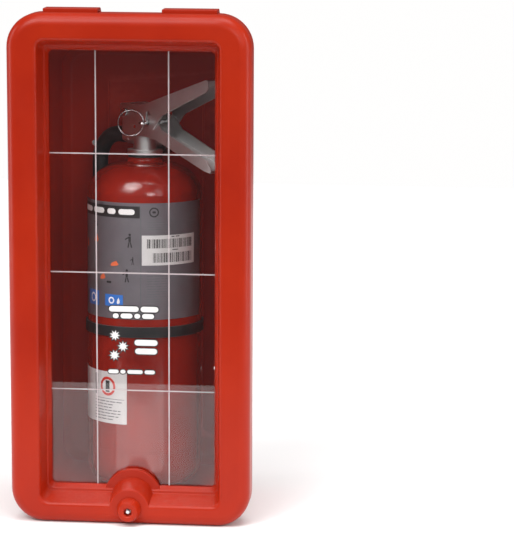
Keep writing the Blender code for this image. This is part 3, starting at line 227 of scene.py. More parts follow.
def spun(name, profile, sides=64, place=None, ease=0.0):
    """A profile of (radius, height) points spun about Z."""
    bm = bmesh.new()
    verts = [bm.verts.new((radius, 0, height)) for radius, height in profile]
    edges = [bm.edges.new(pair) for pair in zip(verts, verts[1:])]
    if profile[0][0] > 0 or profile[-1][0] > 0:
        edges.append(bm.edges.new((verts[-1], verts[0])))
    bmesh.ops.spin(bm, geom=verts + edges, axis=(0, 0, 1), cent=(0, 0, 0), angle=2 * math.pi,
                   steps=sides, use_merge=True)
    bmesh.ops.remove_doubles(bm, verts=bm.verts, dist=0.00001)
    if ease:
        bmesh.ops.recalc_face_normals(bm, faces=bm.faces)
        ease_edges(bm, ease)
    bmesh.ops.transform(bm, matrix=place or Matrix(), verts=bm.verts)
    return mesh_of(name, bm)


def pressed(name, outline, start, end, place=None, ease=0.0):
    """An outline on X and Z given a thickness along Y."""
    bm = bmesh.new()
    loop_of(bm, [(a, start, b) for a, b in outline])
    face = bmesh.ops.contextual_create(bm, geom=bm.edges)["faces"]
    grown = bmesh.ops.extrude_face_region(bm, geom=face)["geom"]
    moved = [item for item in grown if isinstance(item, bmesh.types.BMVert)]
    bmesh.ops.translate(bm, verts=moved, vec=(0, end - start, 0))
    if ease:
        bmesh.ops.recalc_face_normals(bm, faces=bm.faces)
        ease_edges(bm, ease)
    bmesh.ops.transform(bm, matrix=place or Matrix(), verts=bm.verts)
    return mesh_of(name, bm)


def rod(name, radius, start, end, at=(0, 0, 0), sides=32, tip_radius=None, place=None):
    """A round bar, or a cone, along Y."""
    bm = bmesh.new()
    bmesh.ops.create_cone(bm, cap_ends=True, segments=sides, radius1=radius,
                          radius2=tip_radius or radius, depth=end - start)
    bmesh.ops.translate(bm, verts=bm.verts, vec=(0, 0, (start + end) / 2))
    stand = (place or Matrix()) @ Matrix.Translation(at) @ Matrix.Rotation(-math.pi / 2, 4, "X")
    bmesh.ops.transform(bm, matrix=stand, verts=bm.verts)
    return mesh_of(name, bm)


def swept(name, points, radius, place, cyclic=False, sides=6):
    """A round wire or tube through points, made a mesh."""
    curve = bpy.data.curves.new(name, "CURVE")
    curve.dimensions = "3D"
    curve.bevel_depth = radius
    curve.bevel_resolution = sides
    curve.use_fill_caps = True
    spline = curve.splines.new("POLY")
    spline.points.add(len(points) - 1)
    for slot, point in zip(spline.points, points):
        slot.co = (*point, 1)
    spline.use_cyclic_u = cyclic
    work = bpy.data.objects.new(name, curve)
    mesh = bpy.data.meshes.new_from_object(work)
    bpy.data.objects.remove(work)
    mesh.transform(place)
    mesh.shade_smooth()
    return mesh


def carved(mesh, kind, *tools):
    """The mesh with tools joined to it or cut out of it."""
    link = bpy.context.scene.collection.objects.link
    work = bpy.data.objects.new("work", mesh)
    link(work)
    helpers = []
    for data in tools:
        helper = bpy.data.objects.new("helper", data)
        link(helper)
        helpers.append(helper)
        step = work.modifiers.new("step", "BOOLEAN")
        step.operation = kind
        step.solver = "EXACT"
        step.object = helper
    graph = bpy.context.evaluated_depsgraph_get()
    result = bpy.data.meshes.new_from_object(work.evaluated_get(graph))
    for used in [work, *helpers]:
        bpy.data.objects.remove(used)
    result.shade_smooth()
    result.set_sharp_from_angle(angle=math.radians(38))
    return result


def copied(node, ease, angle=30, segments=2):
    """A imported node's own shape with its triangles joined and its edges rounded."""
    bm = bmesh.new()
    bm.from_mesh(frame["nodes"][node].data)
    bmesh.ops.remove_doubles(bm, verts=bm.verts, dist=0.002 * MM)
    bmesh.ops.dissolve_limit(bm, angle_limit=math.radians(0.5), verts=bm.verts, edges=bm.edges)
    bmesh.ops.recalc_face_normals(bm, faces=bm.faces)
    ease_edges(bm, ease, angle, segments)
    return mesh_of(node + "_eased", bm)


def piece(name, mesh, body, slot, material, *nodes, level_normals=True):
    """Finish a piece whose mesh is in place: it rides on body and stands for nodes."""
    made = bpy.data.objects.new(name, mesh)
    bpy.context.scene.collection.objects.link(made)
    mesh.materials.clear()
    mesh.materials.append(MATERIALS[material])
    if level_normals:
        step = made.modifiers.new("level_normals", "WEIGHTED_NORMAL")
        step.keep_sharp = True
    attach(made, body)
    if nodes:
        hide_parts(*nodes)
    return made


def arc(centre, radius, start, end, steps):
    """(a, b) points of an arc, in degrees."""
    angles = [math.radians(start + (end - start) * step / steps) for step in range(steps + 1)]
    return [(centre[0] + radius * math.cos(a), centre[1] + radius * math.sin(a)) for a in angles]


# ---------------------------------------------------------------- shader effects

def effect(name, inputs, outputs):
    """An empty effect group with float sockets."""
    tree = bpy.data.node_groups.new(name, "ShaderNodeTree")
    for label, value in inputs.items():
        socket = tree.interface.new_socket(name=label, in_out="INPUT", socket_type="NodeSocketFloat")
        socket.default_value = value
    for label in outputs:
        tree.interface.new_socket(name=label, in_out="OUTPUT", socket_type="NodeSocketFloat")
    return tree, tree.nodes.new("NodeGroupInput").outputs, tree.nodes.new("NodeGroupOutput").inputs


def feed(tree, value, socket):
    if isinstance(value, bpy.types.NodeSocket):
        tree.links.new(value, socket)
    else:
        socket.default_value = value


def node(tree, kind, settings=None, **sockets):
    made = tree.nodes.new("ShaderNode" + kind)
    for key, value in (settings or {}).items():
        setattr(made, key, value)
    for key, value in sockets.items():
        feed(tree, value, made.inputs[key.replace("_", " ")])
    return made


def math_of(tree, operation, a, b=0.0):
    made = node(tree, "Math", {"operation": operation})
    feed(tree, a, made.inputs[0])
    feed(tree, b, made.inputs[1])
    return made.outputs[0]


def ramp(tree, value, low, high, to_low=0.0, to_high=1.0):
    made = node(tree, "MapRange", Value=value, From_Min=low, From_Max=high, To_Min=to_low, To_Max=to_high)
    return made.outputs["Result"]


def object_points(tree, scale=(1, 1, 1)):
    points = node(tree, "TexCoord").outputs["Object"]
    return node(tree, "Mapping", Vector=points, Scale=scale).outputs["Vector"]


def noise(tree, points, scale, detail=3.0, roughness=0.55):
    made = node(tree, "TexNoise", Vector=points, Scale=scale, Detail=detail, Roughness=roughness)
    return made.outputs["Fac"]


def moulded_grain():
    """Fine spark-finish grain with a slow ripple under it, as a mould leaves on plastic."""
    tree, inside, out = effect("moulded_grain", {"Scale": 900.0, "Ripple": 60.0}, ["Height"])
    points = object_points(tree)
    fine = noise(tree, points, inside["Scale"], 2.0)
    slow = noise(tree, points, inside["Ripple"], 2.0)
    feed(tree, math_of(tree, "ADD", fine, math_of(tree, "MULTIPLY", slow, 1.6)), out["Height"])
    return tree


def tone_cloud():
    """Slow blotches for a change of tone."""
    tree, inside, out = effect("tone_cloud", {"Scale": 14.0}, ["Mask"])
    blotches = noise(tree, object_points(tree), inside["Scale"], 4.0, 0.6)
    feed(tree, ramp(tree, blotches, 0.36, 0.66), out["Mask"])
    return tree


def handling_smudge():
    """Wiped patches and finger marks, for roughness."""
    tree, inside, out = effect("handling_smudge", {"Scale": 26.0}, ["Mask"])
    points = object_points(tree, (1, 1, 0.55))
    wiped = noise(tree, points, inside["Scale"], 5.0, 0.65)
    patches = node(tree, "TexVoronoi", {"feature": "SMOOTH_F1"}, Vector=points, Scale=inside["Scale"])
    mask = math_of(tree, "MULTIPLY", ramp(tree, wiped, 0.45, 0.75),
                   ramp(tree, patches.outputs["Distance"], 0.1, 0.6))
    feed(tree, mask, out["Mask"])
    return tree


def edge_rub():
    """Where corners are rubbed: the sharpest convex places, broken up."""
    tree, inside, out = effect("edge_rub", {"Start": 0.53, "Scale": 180.0}, ["Mask"])
    edges = node(tree, "NewGeometry").outputs["Pointiness"]
    start = math_of(tree, "ADD", inside["Start"], math_of(
        tree, "MULTIPLY", noise(tree, object_points(tree), inside["Scale"], 4.0), 0.08))
    made = node(tree, "MapRange", Value=edges, From_Min=start, From_Max=math_of(tree, "ADD", start, 0.05))
    feed(tree, made.outputs["Result"], out["Mask"])
    return tree


def settled_dust():
    """Dust on what faces up."""
    tree, inside, out = effect("settled_dust", {"Amount": 0.2, "Scale": 300.0}, ["Mask"])
    facing = node(tree, "SeparateXYZ", Vector=node(tree, "NewGeometry").outputs["Normal"]).outputs["Z"]
    specks = ramp(tree, noise(tree, object_points(tree), inside["Scale"], 6.0, 0.7), 0.4, 0.7)
    mask = math_of(tree, "MULTIPLY", ramp(tree, facing, 0.55, 1.0), specks)
    feed(tree, math_of(tree, "MULTIPLY", mask, inside["Amount"]), out["Mask"])
    return tree


def brushed_lines():
    """Lines that run along the levers, as rolled sheet has."""
    tree, inside, out = effect("brushed_lines", {"Scale": 90.0}, ["Height"])
    lines = noise(tree, object_points(tree, (1.0, 1.0, 14.0)), inside["Scale"], 4.0, 0.7)
    feed(tree, lines, out["Height"])
    return tree


def rubber_rib():
    """Fine wound ribs round a hose that runs upright, for its braid."""
    tree, inside, out = effect("rubber_rib", {"Pitch": 1400.0}, ["Height"])
    along = node(tree, "SeparateXYZ", Vector=node(tree, "TexCoord").outputs["Object"]).outputs["Z"]
    feed(tree, math_of(tree, "SINE", math_of(tree, "MULTIPLY", along, inside["Pitch"])), out["Height"])
    return tree


EFFECTS = {made.name: made for made in (moulded_grain(), tone_cloud(), handling_smudge(), edge_rub(),
                                        settled_dust(), brushed_lines(), rubber_rib())}


def use(tree, name, **values):
    made = tree.nodes.new("ShaderNodeGroup")
    made.node_tree = EFFECTS[name]
    for key, value in values.items():
        made.inputs[key].default_value = value
    return made.outputs[0]


def mixed(tree, factor, first, second):
    made = node(tree, "Mix", {"data_type": "RGBA"})
    feed(tree, factor, made.inputs[0])
    feed(tree, (*first, 1) if isinstance(first, tuple) else first, made.inputs[6])
    feed(tree, (*second, 1) if isinstance(second, tuple) else second, made.inputs[7])
    return made.outputs[2]


def shade(colour, factor):
    return tuple(channel * factor for channel in colour)


def finish(name, colour, roughness, *, second=None, cloud=14.0, relief="moulded_grain", relief_scale=900.0,
           depth=0.01 * MM, smudge=0.12, rub=None, dust=0.0, **fixed):
    """A finish with a drifting tone, smudged gloss, relief, and rubbed or dusty places where asked."""
    made = bpy.data.materials.new(name)
    made.use_nodes = True
    tree = made.node_tree
    shader = tree.nodes["Principled BSDF"]
    for key, value in fixed.items():
        shader.inputs[key.replace("_", " ")].default_value = value
    tone = mixed(tree, use(tree, "tone_cloud", Scale=cloud), colour, second or shade(colour, 0.82))
    gloss = ramp(tree, use(tree, "handling_smudge"), 0.0, 1.0, roughness, roughness + smudge)
    if rub:
        mask = use(tree, "edge_rub")
        tone = mixed(tree, mask, tone, rub)
    if dust:
        tone = mixed(tree, use(tree, "settled_dust", Amount=dust), tone, (0.55, 0.5, 0.46))
    feed(tree, tone, shader.inputs["Base Color"])
    feed(tree, gloss, shader.inputs["Roughness"])
    scale_name = {"moulded_grain": "Scale", "brushed_lines": "Scale", "rubber_rib": "Pitch"}[relief]
    height = use(tree, relief, **{scale_name: relief_scale})
    bump = node(tree, "Bump", Strength=0.6, Distance=depth, Height=height)
    feed(tree, bump.outputs["Normal"], shader.inputs["Normal"])
    return made


def clear_finish(name, tint, roughness, haze):
    """A clear moulding that lets the lamps' light through, with faint haze and hairline scuffs."""
    made = bpy.data.materials.new(name)
    made.use_nodes = True
    tree = made.node_tree
    shader = tree.nodes["Principled BSDF"]
    shader.inputs["IOR"].default_value = 1.49
    shader.inputs["Transmission Weight"].default_value = 1.0
    cloud = use(tree, "tone_cloud", Scale=9.0)
    feed(tree, mixed(tree, cloud, tint, shade(tint, 0.985)), shader.inputs["Base Color"])
    feed(tree, ramp(tree, use(tree, "handling_smudge", Scale=18.0), 0.0, 1.0, roughness, roughness + haze),
         shader.inputs["Roughness"])
    lit = node(tree, "LightPath").outputs["Is Shadow Ray"]
    passing = node(tree, "BsdfTransparent", Color=(*tint, 1))
    both = node(tree, "MixShader", Fac=lit)
    tree.links.new(shader.outputs["BSDF"], both.inputs[1])
    tree.links.new(passing.outputs["BSDF"], both.inputs[2])
    tree.links.new(both.outputs["Shader"], tree.nodes["Material Output"].inputs["Surface"])
    return made


def silver_print(name, axis_place, half_width):
    """Silver ink that is shaded like a round tank: bright near its left third, dark at both sides."""
    made = finish(name, (0.6, 0.62, 0.64), 0.32)
    tree = made.node_tree
    across = node(tree, "SeparateXYZ", Vector=node(tree, "TexCoord").outputs["Object"]).outputs["Y"]
    place = ramp(tree, across, axis_place - half_width, axis_place + half_width)
    bands = node(tree, "ValToRGB", Fac=place)
    stops = ((0.0, 0.16), (0.13, 0.62), (0.3, 0.86), (0.5, 0.52), (0.68, 0.8), (0.9, 0.42), (1.0, 0.14))
    elements = bands.color_ramp.elements
    elements[0].position, elements[1].position = stops[0][0], stops[-1][0]
    for position, _ in stops[1:-1]:
        elements.new(position)
    for element, (_, grey) in zip(elements, stops):
        element.color = (grey * 0.94, grey * 0.97, grey, 1)
    feed(tree, bands.outputs["Color"], tree.nodes["Principled BSDF"].inputs["Base Color"])
    return made


RED = (0.36, 0.018, 0.0025)
RED_DEEP = (0.30, 0.0125, 0.002)
MATERIALS = {
    # The faint red emission makes the moulding glow a little: painted light that brightens the shaded inside
    # of the cabinet.
    "red_moulding": finish("red_moulding", RED, 0.3, second=RED_DEEP, cloud=9.0, depth=0.012 * MM, smudge=0.1,
                           rub=(0.45, 0.04, 0.02), dust=0.04, Specular_IOR_Level=0.22,
                           Emission_Color=(0.5, 0.006, 0.006, 1), Emission_Strength=0.05),
    "red_clip": finish("red_clip", (0.24, 0.011, 0.008), 0.42, depth=0.012 * MM, rub=(0.42, 0.05, 0.035)),
    # The bottle's red is set darker than its paint: painted shade for the bottle, which stands in the
    # cabinet's shade.
    "shaded_red_enamel": finish("shaded_red_enamel", (0.24, 0.011, 0.004), 0.16, second=(0.18, 0.007, 0.003),
                         relief_scale=260.0, depth=0.008 * MM, smudge=0.08, Coat_Weight=0.5,
                         Coat_Roughness=0.08),
    "satin_nickel": finish("satin_nickel", (0.74, 0.735, 0.73), 0.4, relief="brushed_lines",
                           relief_scale=110.0, depth=0.01 * MM, smudge=0.14, Metallic=1.0,
                           rub=(0.72, 0.71, 0.69)),
    "bright_steel": finish("bright_steel", (0.66, 0.66, 0.67), 0.18, relief_scale=700.0, depth=0.004 * MM,
                           Metallic=1.0, rub=(0.8, 0.8, 0.8)),
    "turned_brass": finish("turned_brass", (0.62, 0.43, 0.17), 0.28, second=(0.5, 0.33, 0.12),
                           relief_scale=500.0, depth=0.006 * MM, Metallic=1.0),
    "black_moulding": finish("black_moulding", (0.014, 0.014, 0.016), 0.42, second=(0.022, 0.021, 0.021),
                             depth=0.02 * MM, dust=0.12, rub=(0.06, 0.06, 0.06)),
    "hose_cover": finish("hose_cover", (0.016, 0.016, 0.018), 0.5, second=(0.026, 0.025, 0.026),
                         relief="rubber_rib", relief_scale=3000.0, depth=0.05 * MM, dust=0.15),
    "seal_rubber": finish("seal_rubber", (0.012, 0.012, 0.012), 0.62, relief_scale=500.0, depth=0.02 * MM),
    "stored_powder": finish("stored_powder", (0.72, 0.66, 0.42), 0.9, second=(0.66, 0.59, 0.35),
                            relief_scale=420.0, depth=0.3 * MM),
    # The label's silver is set to a dark grey: painted shade for the bottle, which stands in the cabinet's
    # shade.
    "shaded_silver_film": finish("shaded_silver_film", (0.17, 0.155, 0.17), 0.34, second=(0.14, 0.127, 0.14), cloud=24.0,
                          relief_scale=300.0, depth=0.006 * MM, Metallic=0.35),
    "white_film": finish("white_film", (0.6, 0.59, 0.59), 0.36, second=(0.52, 0.51, 0.5), relief_scale=300.0,
                         depth=0.006 * MM),
    "red_film": finish("red_film", (0.37, 0.0075, 0.006), 0.24, second=(0.34, 0.007, 0.0055),
                       relief_scale=300.0, depth=0.005 * MM, smudge=0.08),
    "score_haze": finish("score_haze", (0.62, 0.55, 0.56), 0.5, second=(0.52, 0.44, 0.45), cloud=60.0,
                         relief_scale=700.0, depth=0.02 * MM, Alpha=0.78),
    "clear_panel": clear_finish("clear_panel", (0.985, 0.975, 0.975), 0.0, 0.03),
    "clear_lens": clear_finish("clear_lens", (0.98, 0.98, 0.98), 0.0, 0.02),
}
for ink, colour, roughness in (
        ("black_ink", (0.016, 0.014, 0.015), 0.4), ("grey_ink", (0.13, 0.13, 0.14), 0.42),
        ("white_ink", (0.8, 0.79, 0.78), 0.4), ("red_ink", (0.55, 0.03, 0.02), 0.38),
        ("orange_ink", (0.68, 0.14, 0.05), 0.4), ("blue_ink", (0.03, 0.15, 0.5), 0.36),
        ("green_ink", (0.03, 0.3, 0.07), 0.36)):
    MATERIALS[ink] = finish(ink, colour, roughness, relief_scale=400.0, depth=0.004 * MM)


# ---------------------------------------------------------------- cover

def rounded_ring(half_width, top, bottom, radius, y, steps=CORNER_STEPS):
    """A rounded rectangle at depth y, counter-clockwise from its right side."""
    points = []
    for side, edge, start in ((1, top, 0), (-1, top, 90), (-1, bottom, 180), (1, bottom, 270)):
        centre = (side * (half_width - radius), edge - math.copysign(radius, edge))
        points += [Vector((a, y, b)) for a, b in arc(centre, radius, start, start + 90, steps)]
    return points


def inset_ring(insets, radius, y):
    side, top, bottom = insets
    return rounded_ring(COVER_HALF - side, COVER_TOP - top, bottom - COVER_TOP, radius, y)


def quarter_turn(steps=ROLL_STEPS):
    """Angles from 0 to a quarter turn, for a rolled edge."""
    return [math.radians(90 * step / steps) for step in range(steps + 1)]


def cover_rings():
    """The cover's section, from its outer rear edge over the front and back along the inside."""
    rings = [inset_ring((0, 0, 0), COVER_CORNER, depth) for depth in (COVER_DEPTH, 20 * MM)]
    for angle in quarter_turn():
        inset = COVER_ROLL * (1 - math.cos(angle))
        rings.append(inset_ring(ALL_ROUND * inset, COVER_CORNER - inset, COVER_ROLL * (1 - math.sin(angle))))
    for angle in quarter_turn():
        inset = OPENING_ROLL * math.sin(angle)
        rings.append(inset_ring(FLANGE + ALL_ROUND * inset, OPENING_CORNER - inset,
                                OPENING_ROLL * (1 - math.cos(angle))))
    ledge_start, ledge_end = LEDGE_SHARE
    rings.append(inset_ring(FLANGE + RECESS * ledge_start, 6 * MM, LEDGE_DEPTH))
    rings.append(inset_ring(FLANGE + RECESS * ledge_end, 5 * MM, LEDGE_DEPTH + 0.6 * MM))
    rings.append(inset_ring(WINDOW, WINDOW_CORNER, LIP_DEPTH))
    rings.append(inset_ring(WINDOW, WINDOW_CORNER, COVER_DEPTH))
    rings.append(inset_ring(WINDOW - ALL_ROUND * LIP_LAND, 10 * MM, COVER_DEPTH))
    rings.append(inset_ring(FLANGE - ALL_ROUND * SHELL_WALL / 2, 12 * MM, SHELL_WALL))
    inner_roll = COVER_ROLL - SHELL_WALL
    for angle in reversed(quarter_turn(4)):
        inset = SHELL_WALL + inner_roll * (1 - math.cos(angle))
        rings.append(inset_ring(ALL_ROUND * inset, COVER_CORNER - inset,
                                SHELL_WALL + inner_roll * (1 - math.sin(angle))))
    rings.append(inset_ring(ALL_ROUND * SHELL_WALL, COVER_CORNER - SHELL_WALL, COVER_DEPTH))
    return rings


def circle_ring(radius, y, centre_z, sides=96):
    return [Vector((a, y, b)) for a, b in arc((0, centre_z), radius, 0, 360 - 360 / sides, sides - 1)]


def cut_below(mesh, height):
    """Drop what is lower than height, and close the cut."""
    bm = bmesh.new()
    bm.from_mesh(mesh)
    cut = bmesh.ops.bisect_plane(bm, geom=bm.verts[:] + bm.edges[:] + bm.faces[:], plane_co=(0, 0, height),
                                 plane_no=(0, 0, -1), clear_outer=True)["geom_cut"]
    bmesh.ops.contextual_create(bm, geom=[item for item in cut if isinstance(item, bmesh.types.BMEdge)])
    return mesh_of(mesh.name + "_cut", bm)


def post_places():
    """Middle of each panel clip's post, read from the clips' screws."""
    for number in range(1, 7):
        low, high = local_box("clip_screw_%d" % number, LEANING)
        yield ((low.x + high.x) / 2, 0, (low.z + high.z) / 2)


def make_cover():
    shell = skinned("cover_shell", cover_rings(), endless=True, ease=0.7 * MM)
    floor = LOCK_Z - BOSS_CUT
    collar_radius, collar_rise = COLLAR
    boss = cut_below(skinned("boss", [circle_ring(radius, y, LOCK_Z + rise) for (radius, rise), y
                                      in ((BOSS_FRONT, 0), (BOSS_BACK, COVER_DEPTH))], ease=1.1 * MM), floor)
    collar = cut_below(skinned("collar", [circle_ring(collar_radius, y, LOCK_Z + collar_rise) for y
                                          in (COLLAR_DEPTH, COVER_DEPTH)], ease=0.9 * MM), floor)
    posts = [rod("post", 3.5 * MM, 14 * MM, 31.8 * MM, at) for at in post_places()]
    shell = carved(shell, "UNION", collar, boss, *posts)
    lock = (0, 0, LOCK_Z)
    cutters = [rod("lock_bore", 3.6 * MM, -2 * MM, 31 * MM, lock),
               rod("washer_pocket", 7.4 * MM, 17.9 * MM, 31 * MM, lock)]
    cutters += [rod("screw_bore", 1.7 * MM, 22 * MM, 34 * MM, at, 16) for at in post_places()]
    for side in (-1, 1):
        reach = TAB_WIDTH / 2 + 0.8 * MM
        middle = side * TAB_X
        outline = [(middle - reach, COVER_TOP - 6 * MM), (middle + reach, COVER_TOP - 6 * MM),
                   (middle + reach, COVER_TOP + 2 * MM), (middle - reach, COVER_TOP + 2 * MM)]
        cutters.append(pressed("tab_slot", outline, 15.9 * MM, 20.5 * MM))
    shell = carved(shell, "DIFFERENCE", *cutters)
    shell.transform(LEANING)
    piece("cover_moulding", shell, "cover", "red_plastic", "red_moulding", "cover_frame")


# ---------------------------------------------------------------- cabinet body

def body_front_ring(insets, radius, y, inward=0.0):
    return [LEANING @ point for point in inset_ring(insets + ALL_ROUND * inward, radius - inward, y)]


def back_ring(inward, radius, y):
    half_width, half_height = BACK_BOX
    return rounded_ring(half_width - inward, half_height - inward, inward - half_height, radius, y)


def between(first, second, shares):
    return [[a.lerp(b, share) for a, b in zip(first, second)] for share in shares]


def body_rings():
    """From the middle of the back, out to the rim, and back along the inside."""
    rings = []
    for angle in reversed(quarter_turn()):
        inset = BACK_ROLL * (1 - math.cos(angle))
        rings.append(back_ring(inset, BACK_CORNER - inset * 0.8, -BACK_ROLL * (1 - math.sin(angle))))
    wall_back = rings[-1]
    wall_front = body_front_ring(BODY_INSET, BODY_CORNER, BODY_START)
    share = RIM_DEPTH / (CABINET_DEPTH - BODY_START - BACK_ROLL)
    steps = range(1, BODY_STEPS + 1)
    rings += between(wall_back, wall_front, [(1 - share) * step / BODY_STEPS for step in steps])
    rings.append(body_front_ring(RIM_INSET, COVER_CORNER - RIM_INSET.x, BODY_START + RIM_DEPTH))
    rings.append(body_front_ring(RIM_INSET, COVER_CORNER - RIM_INSET.x, BODY_START))
    inner_front = body_front_ring(BODY_INSET, BODY_CORNER, BODY_START, SHELL_WALL)
    inner_back = back_ring(SHELL_WALL, BACK_CORNER - SHELL_WALL, -BACK_ROLL)
    rings.append(inner_front)
    rings += between(inner_front, inner_back, [step / BODY_STEPS for step in steps])
    rings.append(back_ring(BACK_ROLL * 0.75, BACK_CORNER - BACK_ROLL * 0.6, -SHELL_WALL - 1.5 * MM))
    rings.append(back_ring(BACK_ROLL, BACK_CORNER - BACK_ROLL * 0.8, -SHELL_WALL))
    return rings


def floor_height(y):
    """Height of the tub's inner floor at depth y."""
    front = LEANING @ Vector((0, BODY_START, BODY_INSET.z + SHELL_WALL - COVER_TOP))
    back = Vector((0, -BACK_ROLL, min(point.z for point in back_ring(SHELL_WALL, BACK_CORNER, 0))))
    share = (y - front.y) / (back.y - front.y)
    return front.z + share * (back.z - front.z)


def hook_tab(side):
    """A hook that hangs the cover: flat on top, with a tongue that drops into the cover's slot."""
    top = COVER_TOP + 3.5 * MM
    under = COVER_TOP + 0.5 * MM
    wall_top = COVER_TOP - BODY_INSET.y - 1.5 * MM
    slope_end = wall_top - 0.21 * 24.5 * MM
    front, tongue, root, crest, end = (depth * MM for depth in (17, 19.5, 30.5, 34.7, 55))
    tongue_end = COVER_TOP - 3.5 * MM
    outline = [(front, top), (crest, top), (end, slope_end + 2.5 * MM), (end, slope_end), (root, wall_top),
               (root, under), (tongue, under), (tongue, tongue_end), (front, tongue_end)]
    across = LEANING @ Matrix.Rotation(-math.pi / 2, 4, "Z") @ Matrix.Scale(-1, 4, (1, 0, 0))
    return pressed("hook_tab", outline, side * TAB_X - TAB_WIDTH / 2, side * TAB_X + TAB_WIDTH / 2, across,
                   ease=0.7 * MM)


def box_mesh(name, low, high, ease=0.0, place=None):
    """A block between two corners."""
    outline = [(low[0], low[2]), (high[0], low[2]), (high[0], high[2]), (low[0], high[2])]
    return pressed(name, outline, low[1], high[1], place, ease)


def make_cabinet():
    tub = skinned("tub", body_rings(), ease=0.8 * MM)
    reach = BOTTLE_RADIUS - BOTTLE_FOOT
    near, far = STANDING.translation.y + reach, STANDING.translation.y - reach
    sunk = 1.5 * MM
    side = [(-near, SEAT_Z), (-near, floor_height(near) - sunk),
            (-far, floor_height(far) - sunk), (-far, SEAT_Z)]
    across = Matrix.Rotation(-math.pi / 2, 4, "Z")
    ribs = [pressed("seat_rib", side, x - RIB_WIDTH / 2, x + RIB_WIDTH / 2, across, 0.5 * MM)
            for x in RIB_PLACES]
    boss_start = COVER_DEPTH + BOSS_GAP
    boss_end = boss_start + BOSS_LENGTH
    boss = rod("insert_boss", 7.5 * MM, boss_start, boss_end, (0, 0, LOCK_Z), 48, place=LEANING)
    web = box_mesh("boss_web", (-5.25 * MM, boss_start, 6 * MM - COVER_TOP), (5.25 * MM, boss_end, LOCK_Z),
                   place=LEANING)
    half = 0.9 * MM
    wall_ribs = [box_mesh("wall_rib", (x - half, -SHELL_WALL - half, -WALL_RIB_HALF),
                          (x + half, -SHELL_WALL + MM, WALL_RIB_HALF), 0.35 * MM)
                 for x in (-WALL_RIB_X, WALL_RIB_X)]
    tub = carved(tub, "UNION", hook_tab(-1), hook_tab(1), *ribs, boss, web, *wall_ribs)
    socket = rod("insert_socket", 4.9 * MM, boss_start - 2 * MM, boss_end + 2 * MM, (0, 0, LOCK_Z),
                 place=LEANING)
    holes = [rod("mount_hole", MOUNT_HOLE, -2 * SHELL_WALL, 2 * MM, (x, 0, z)) for x, z in MOUNT_HOLES]
    tub = carved(tub, "DIFFERENCE", socket, *holes)
    piece("cabinet_tub", tub, "cabinet", "red_plastic", "red_moulding", "cabinet_body")
    return tub


# ---------------------------------------------------------------- printed art

def inked(name, outlines, place, strip):
    """Flat outlines on X and Z, cut into strips and given a film's thickness, then laid by place."""
    bm = bmesh.new()
    for outline in outlines:
        bmesh.ops.contextual_create(bm, geom=loop_of(bm, [(a, 0, b) for a, b in outline]))
    low = min(vert.co.x for vert in bm.verts)
    high = max(vert.co.x for vert in bm.verts)
    for step in range(1, int((high - low) / strip) + 1):
        bmesh.ops.bisect_plane(bm, geom=bm.verts[:] + bm.edges[:] + bm.faces[:], dist=0.000001,
                               plane_co=(low + step * strip, 0, 0), plane_no=(1, 0, 0))
    grown = bmesh.ops.extrude_face_region(bm, geom=bm.faces[:])["geom"]
    raised = [item for item in grown if isinstance(item, bmesh.types.BMVert)]
    bmesh.ops.translate(bm, verts=raised, vec=(0, -FILM, 0))
    for vert in bm.verts:
        vert.co = place(vert.co)
    return mesh_of(name, bm)


def printed(name, outlines, place, strip, body, slot, material, *nodes):
    """Outlines printed on a body, as a piece."""
    piece(name, inked(name, outlines, place, strip), body, slot, material, *nodes, level_normals=False)


def rect(left, right, low, high):
    return [(left, low), (right, low), (right, high), (left, high)]


def capsule(left, right, low, high):
    """A bar with round ends."""
    radius = min(high - low, right - left) / 2
    middle = (low + high) / 2
    return (arc((right - radius, middle), radius, -90, 90, 6)
            + arc((left + radius, middle), radius, 90, 270, 6))


def grown(outline, width):
    """The outline pushed outwards by width."""
    area = sum(a[0] * b[1] - b[0] * a[1] for a, b in zip(outline, outline[1:] + outline[:1]))
    turn = 1 if area > 0 else -1
    points = [Vector(point) for point in outline]
    result = []
    for before, at, after in zip(points[-1:] + points[:-1], points, points[1:] + points[:1]):
        first, second = (at - before).normalized(), (after - at).normalized()
        normal = Vector((first.y + second.y, -first.x - second.x)) * turn
        normal.normalize()
        slant = max(0.5, normal.dot(Vector((first.y, -first.x)) * turn))
        result.append(tuple(at + normal * width / slant))
    return result


def burst(centre, outer, inner, spikes, turn=0.0):
    """A many-pointed mark where a panel is struck."""
    points = []
    for step in range(2 * spikes):
        radius = outer if step % 2 == 0 else inner
        angle = math.pi * step / spikes + turn
        points.append((centre[0] + radius * math.cos(angle), centre[1] + radius * math.sin(angle)))
    return points


def flame(centre, width, height, lean=0.15, steps=28):
    """A pointed drop that leans over at its tip."""
    points = []
    for step in range(steps):
        turn = 2 * math.pi * step / steps
        across = width * math.sin(turn) * math.sin(turn / 2) ** 1.4
        up = height / 2 * math.cos(turn)
        points.append((centre[0] + across * 0.62 + lean * width * math.cos(turn) ** 3, centre[1] + up))
    return points


def ring_marks(centre, outer, inner, steps=20):
    """A ring as two half rings."""
    return [arc(centre, outer, start, start + 180, steps) + arc(centre, inner, start + 180, start, steps)
            for start in (0, 180)]


def figure(centre, height):
    """A plain standing person that points: head, trunk, two legs and an arm."""
    x, z = centre
    unit = height / 10

    def shape(*corners):
        return [(x + a * unit, z + b * unit) for a, b in corners]

    return [arc((x, z + 4.2 * unit), 0.95 * unit, 0, 330, 11),
            shape((-1, 3), (0.9, 3), (0.8, -1), (-0.9, -1)),
            shape((-0.9, -1.1), (-0.1, -1.1), (-0.7, -5), (-1.7, -5)),
            shape((0, -1.1), (0.8, -1.1), (1.9, -5), (0.9, -5)),
            shape((-0.9, 2.8), (-0.9, 1.7), (-3.4, 0.3), (-3.6, 1.1))]


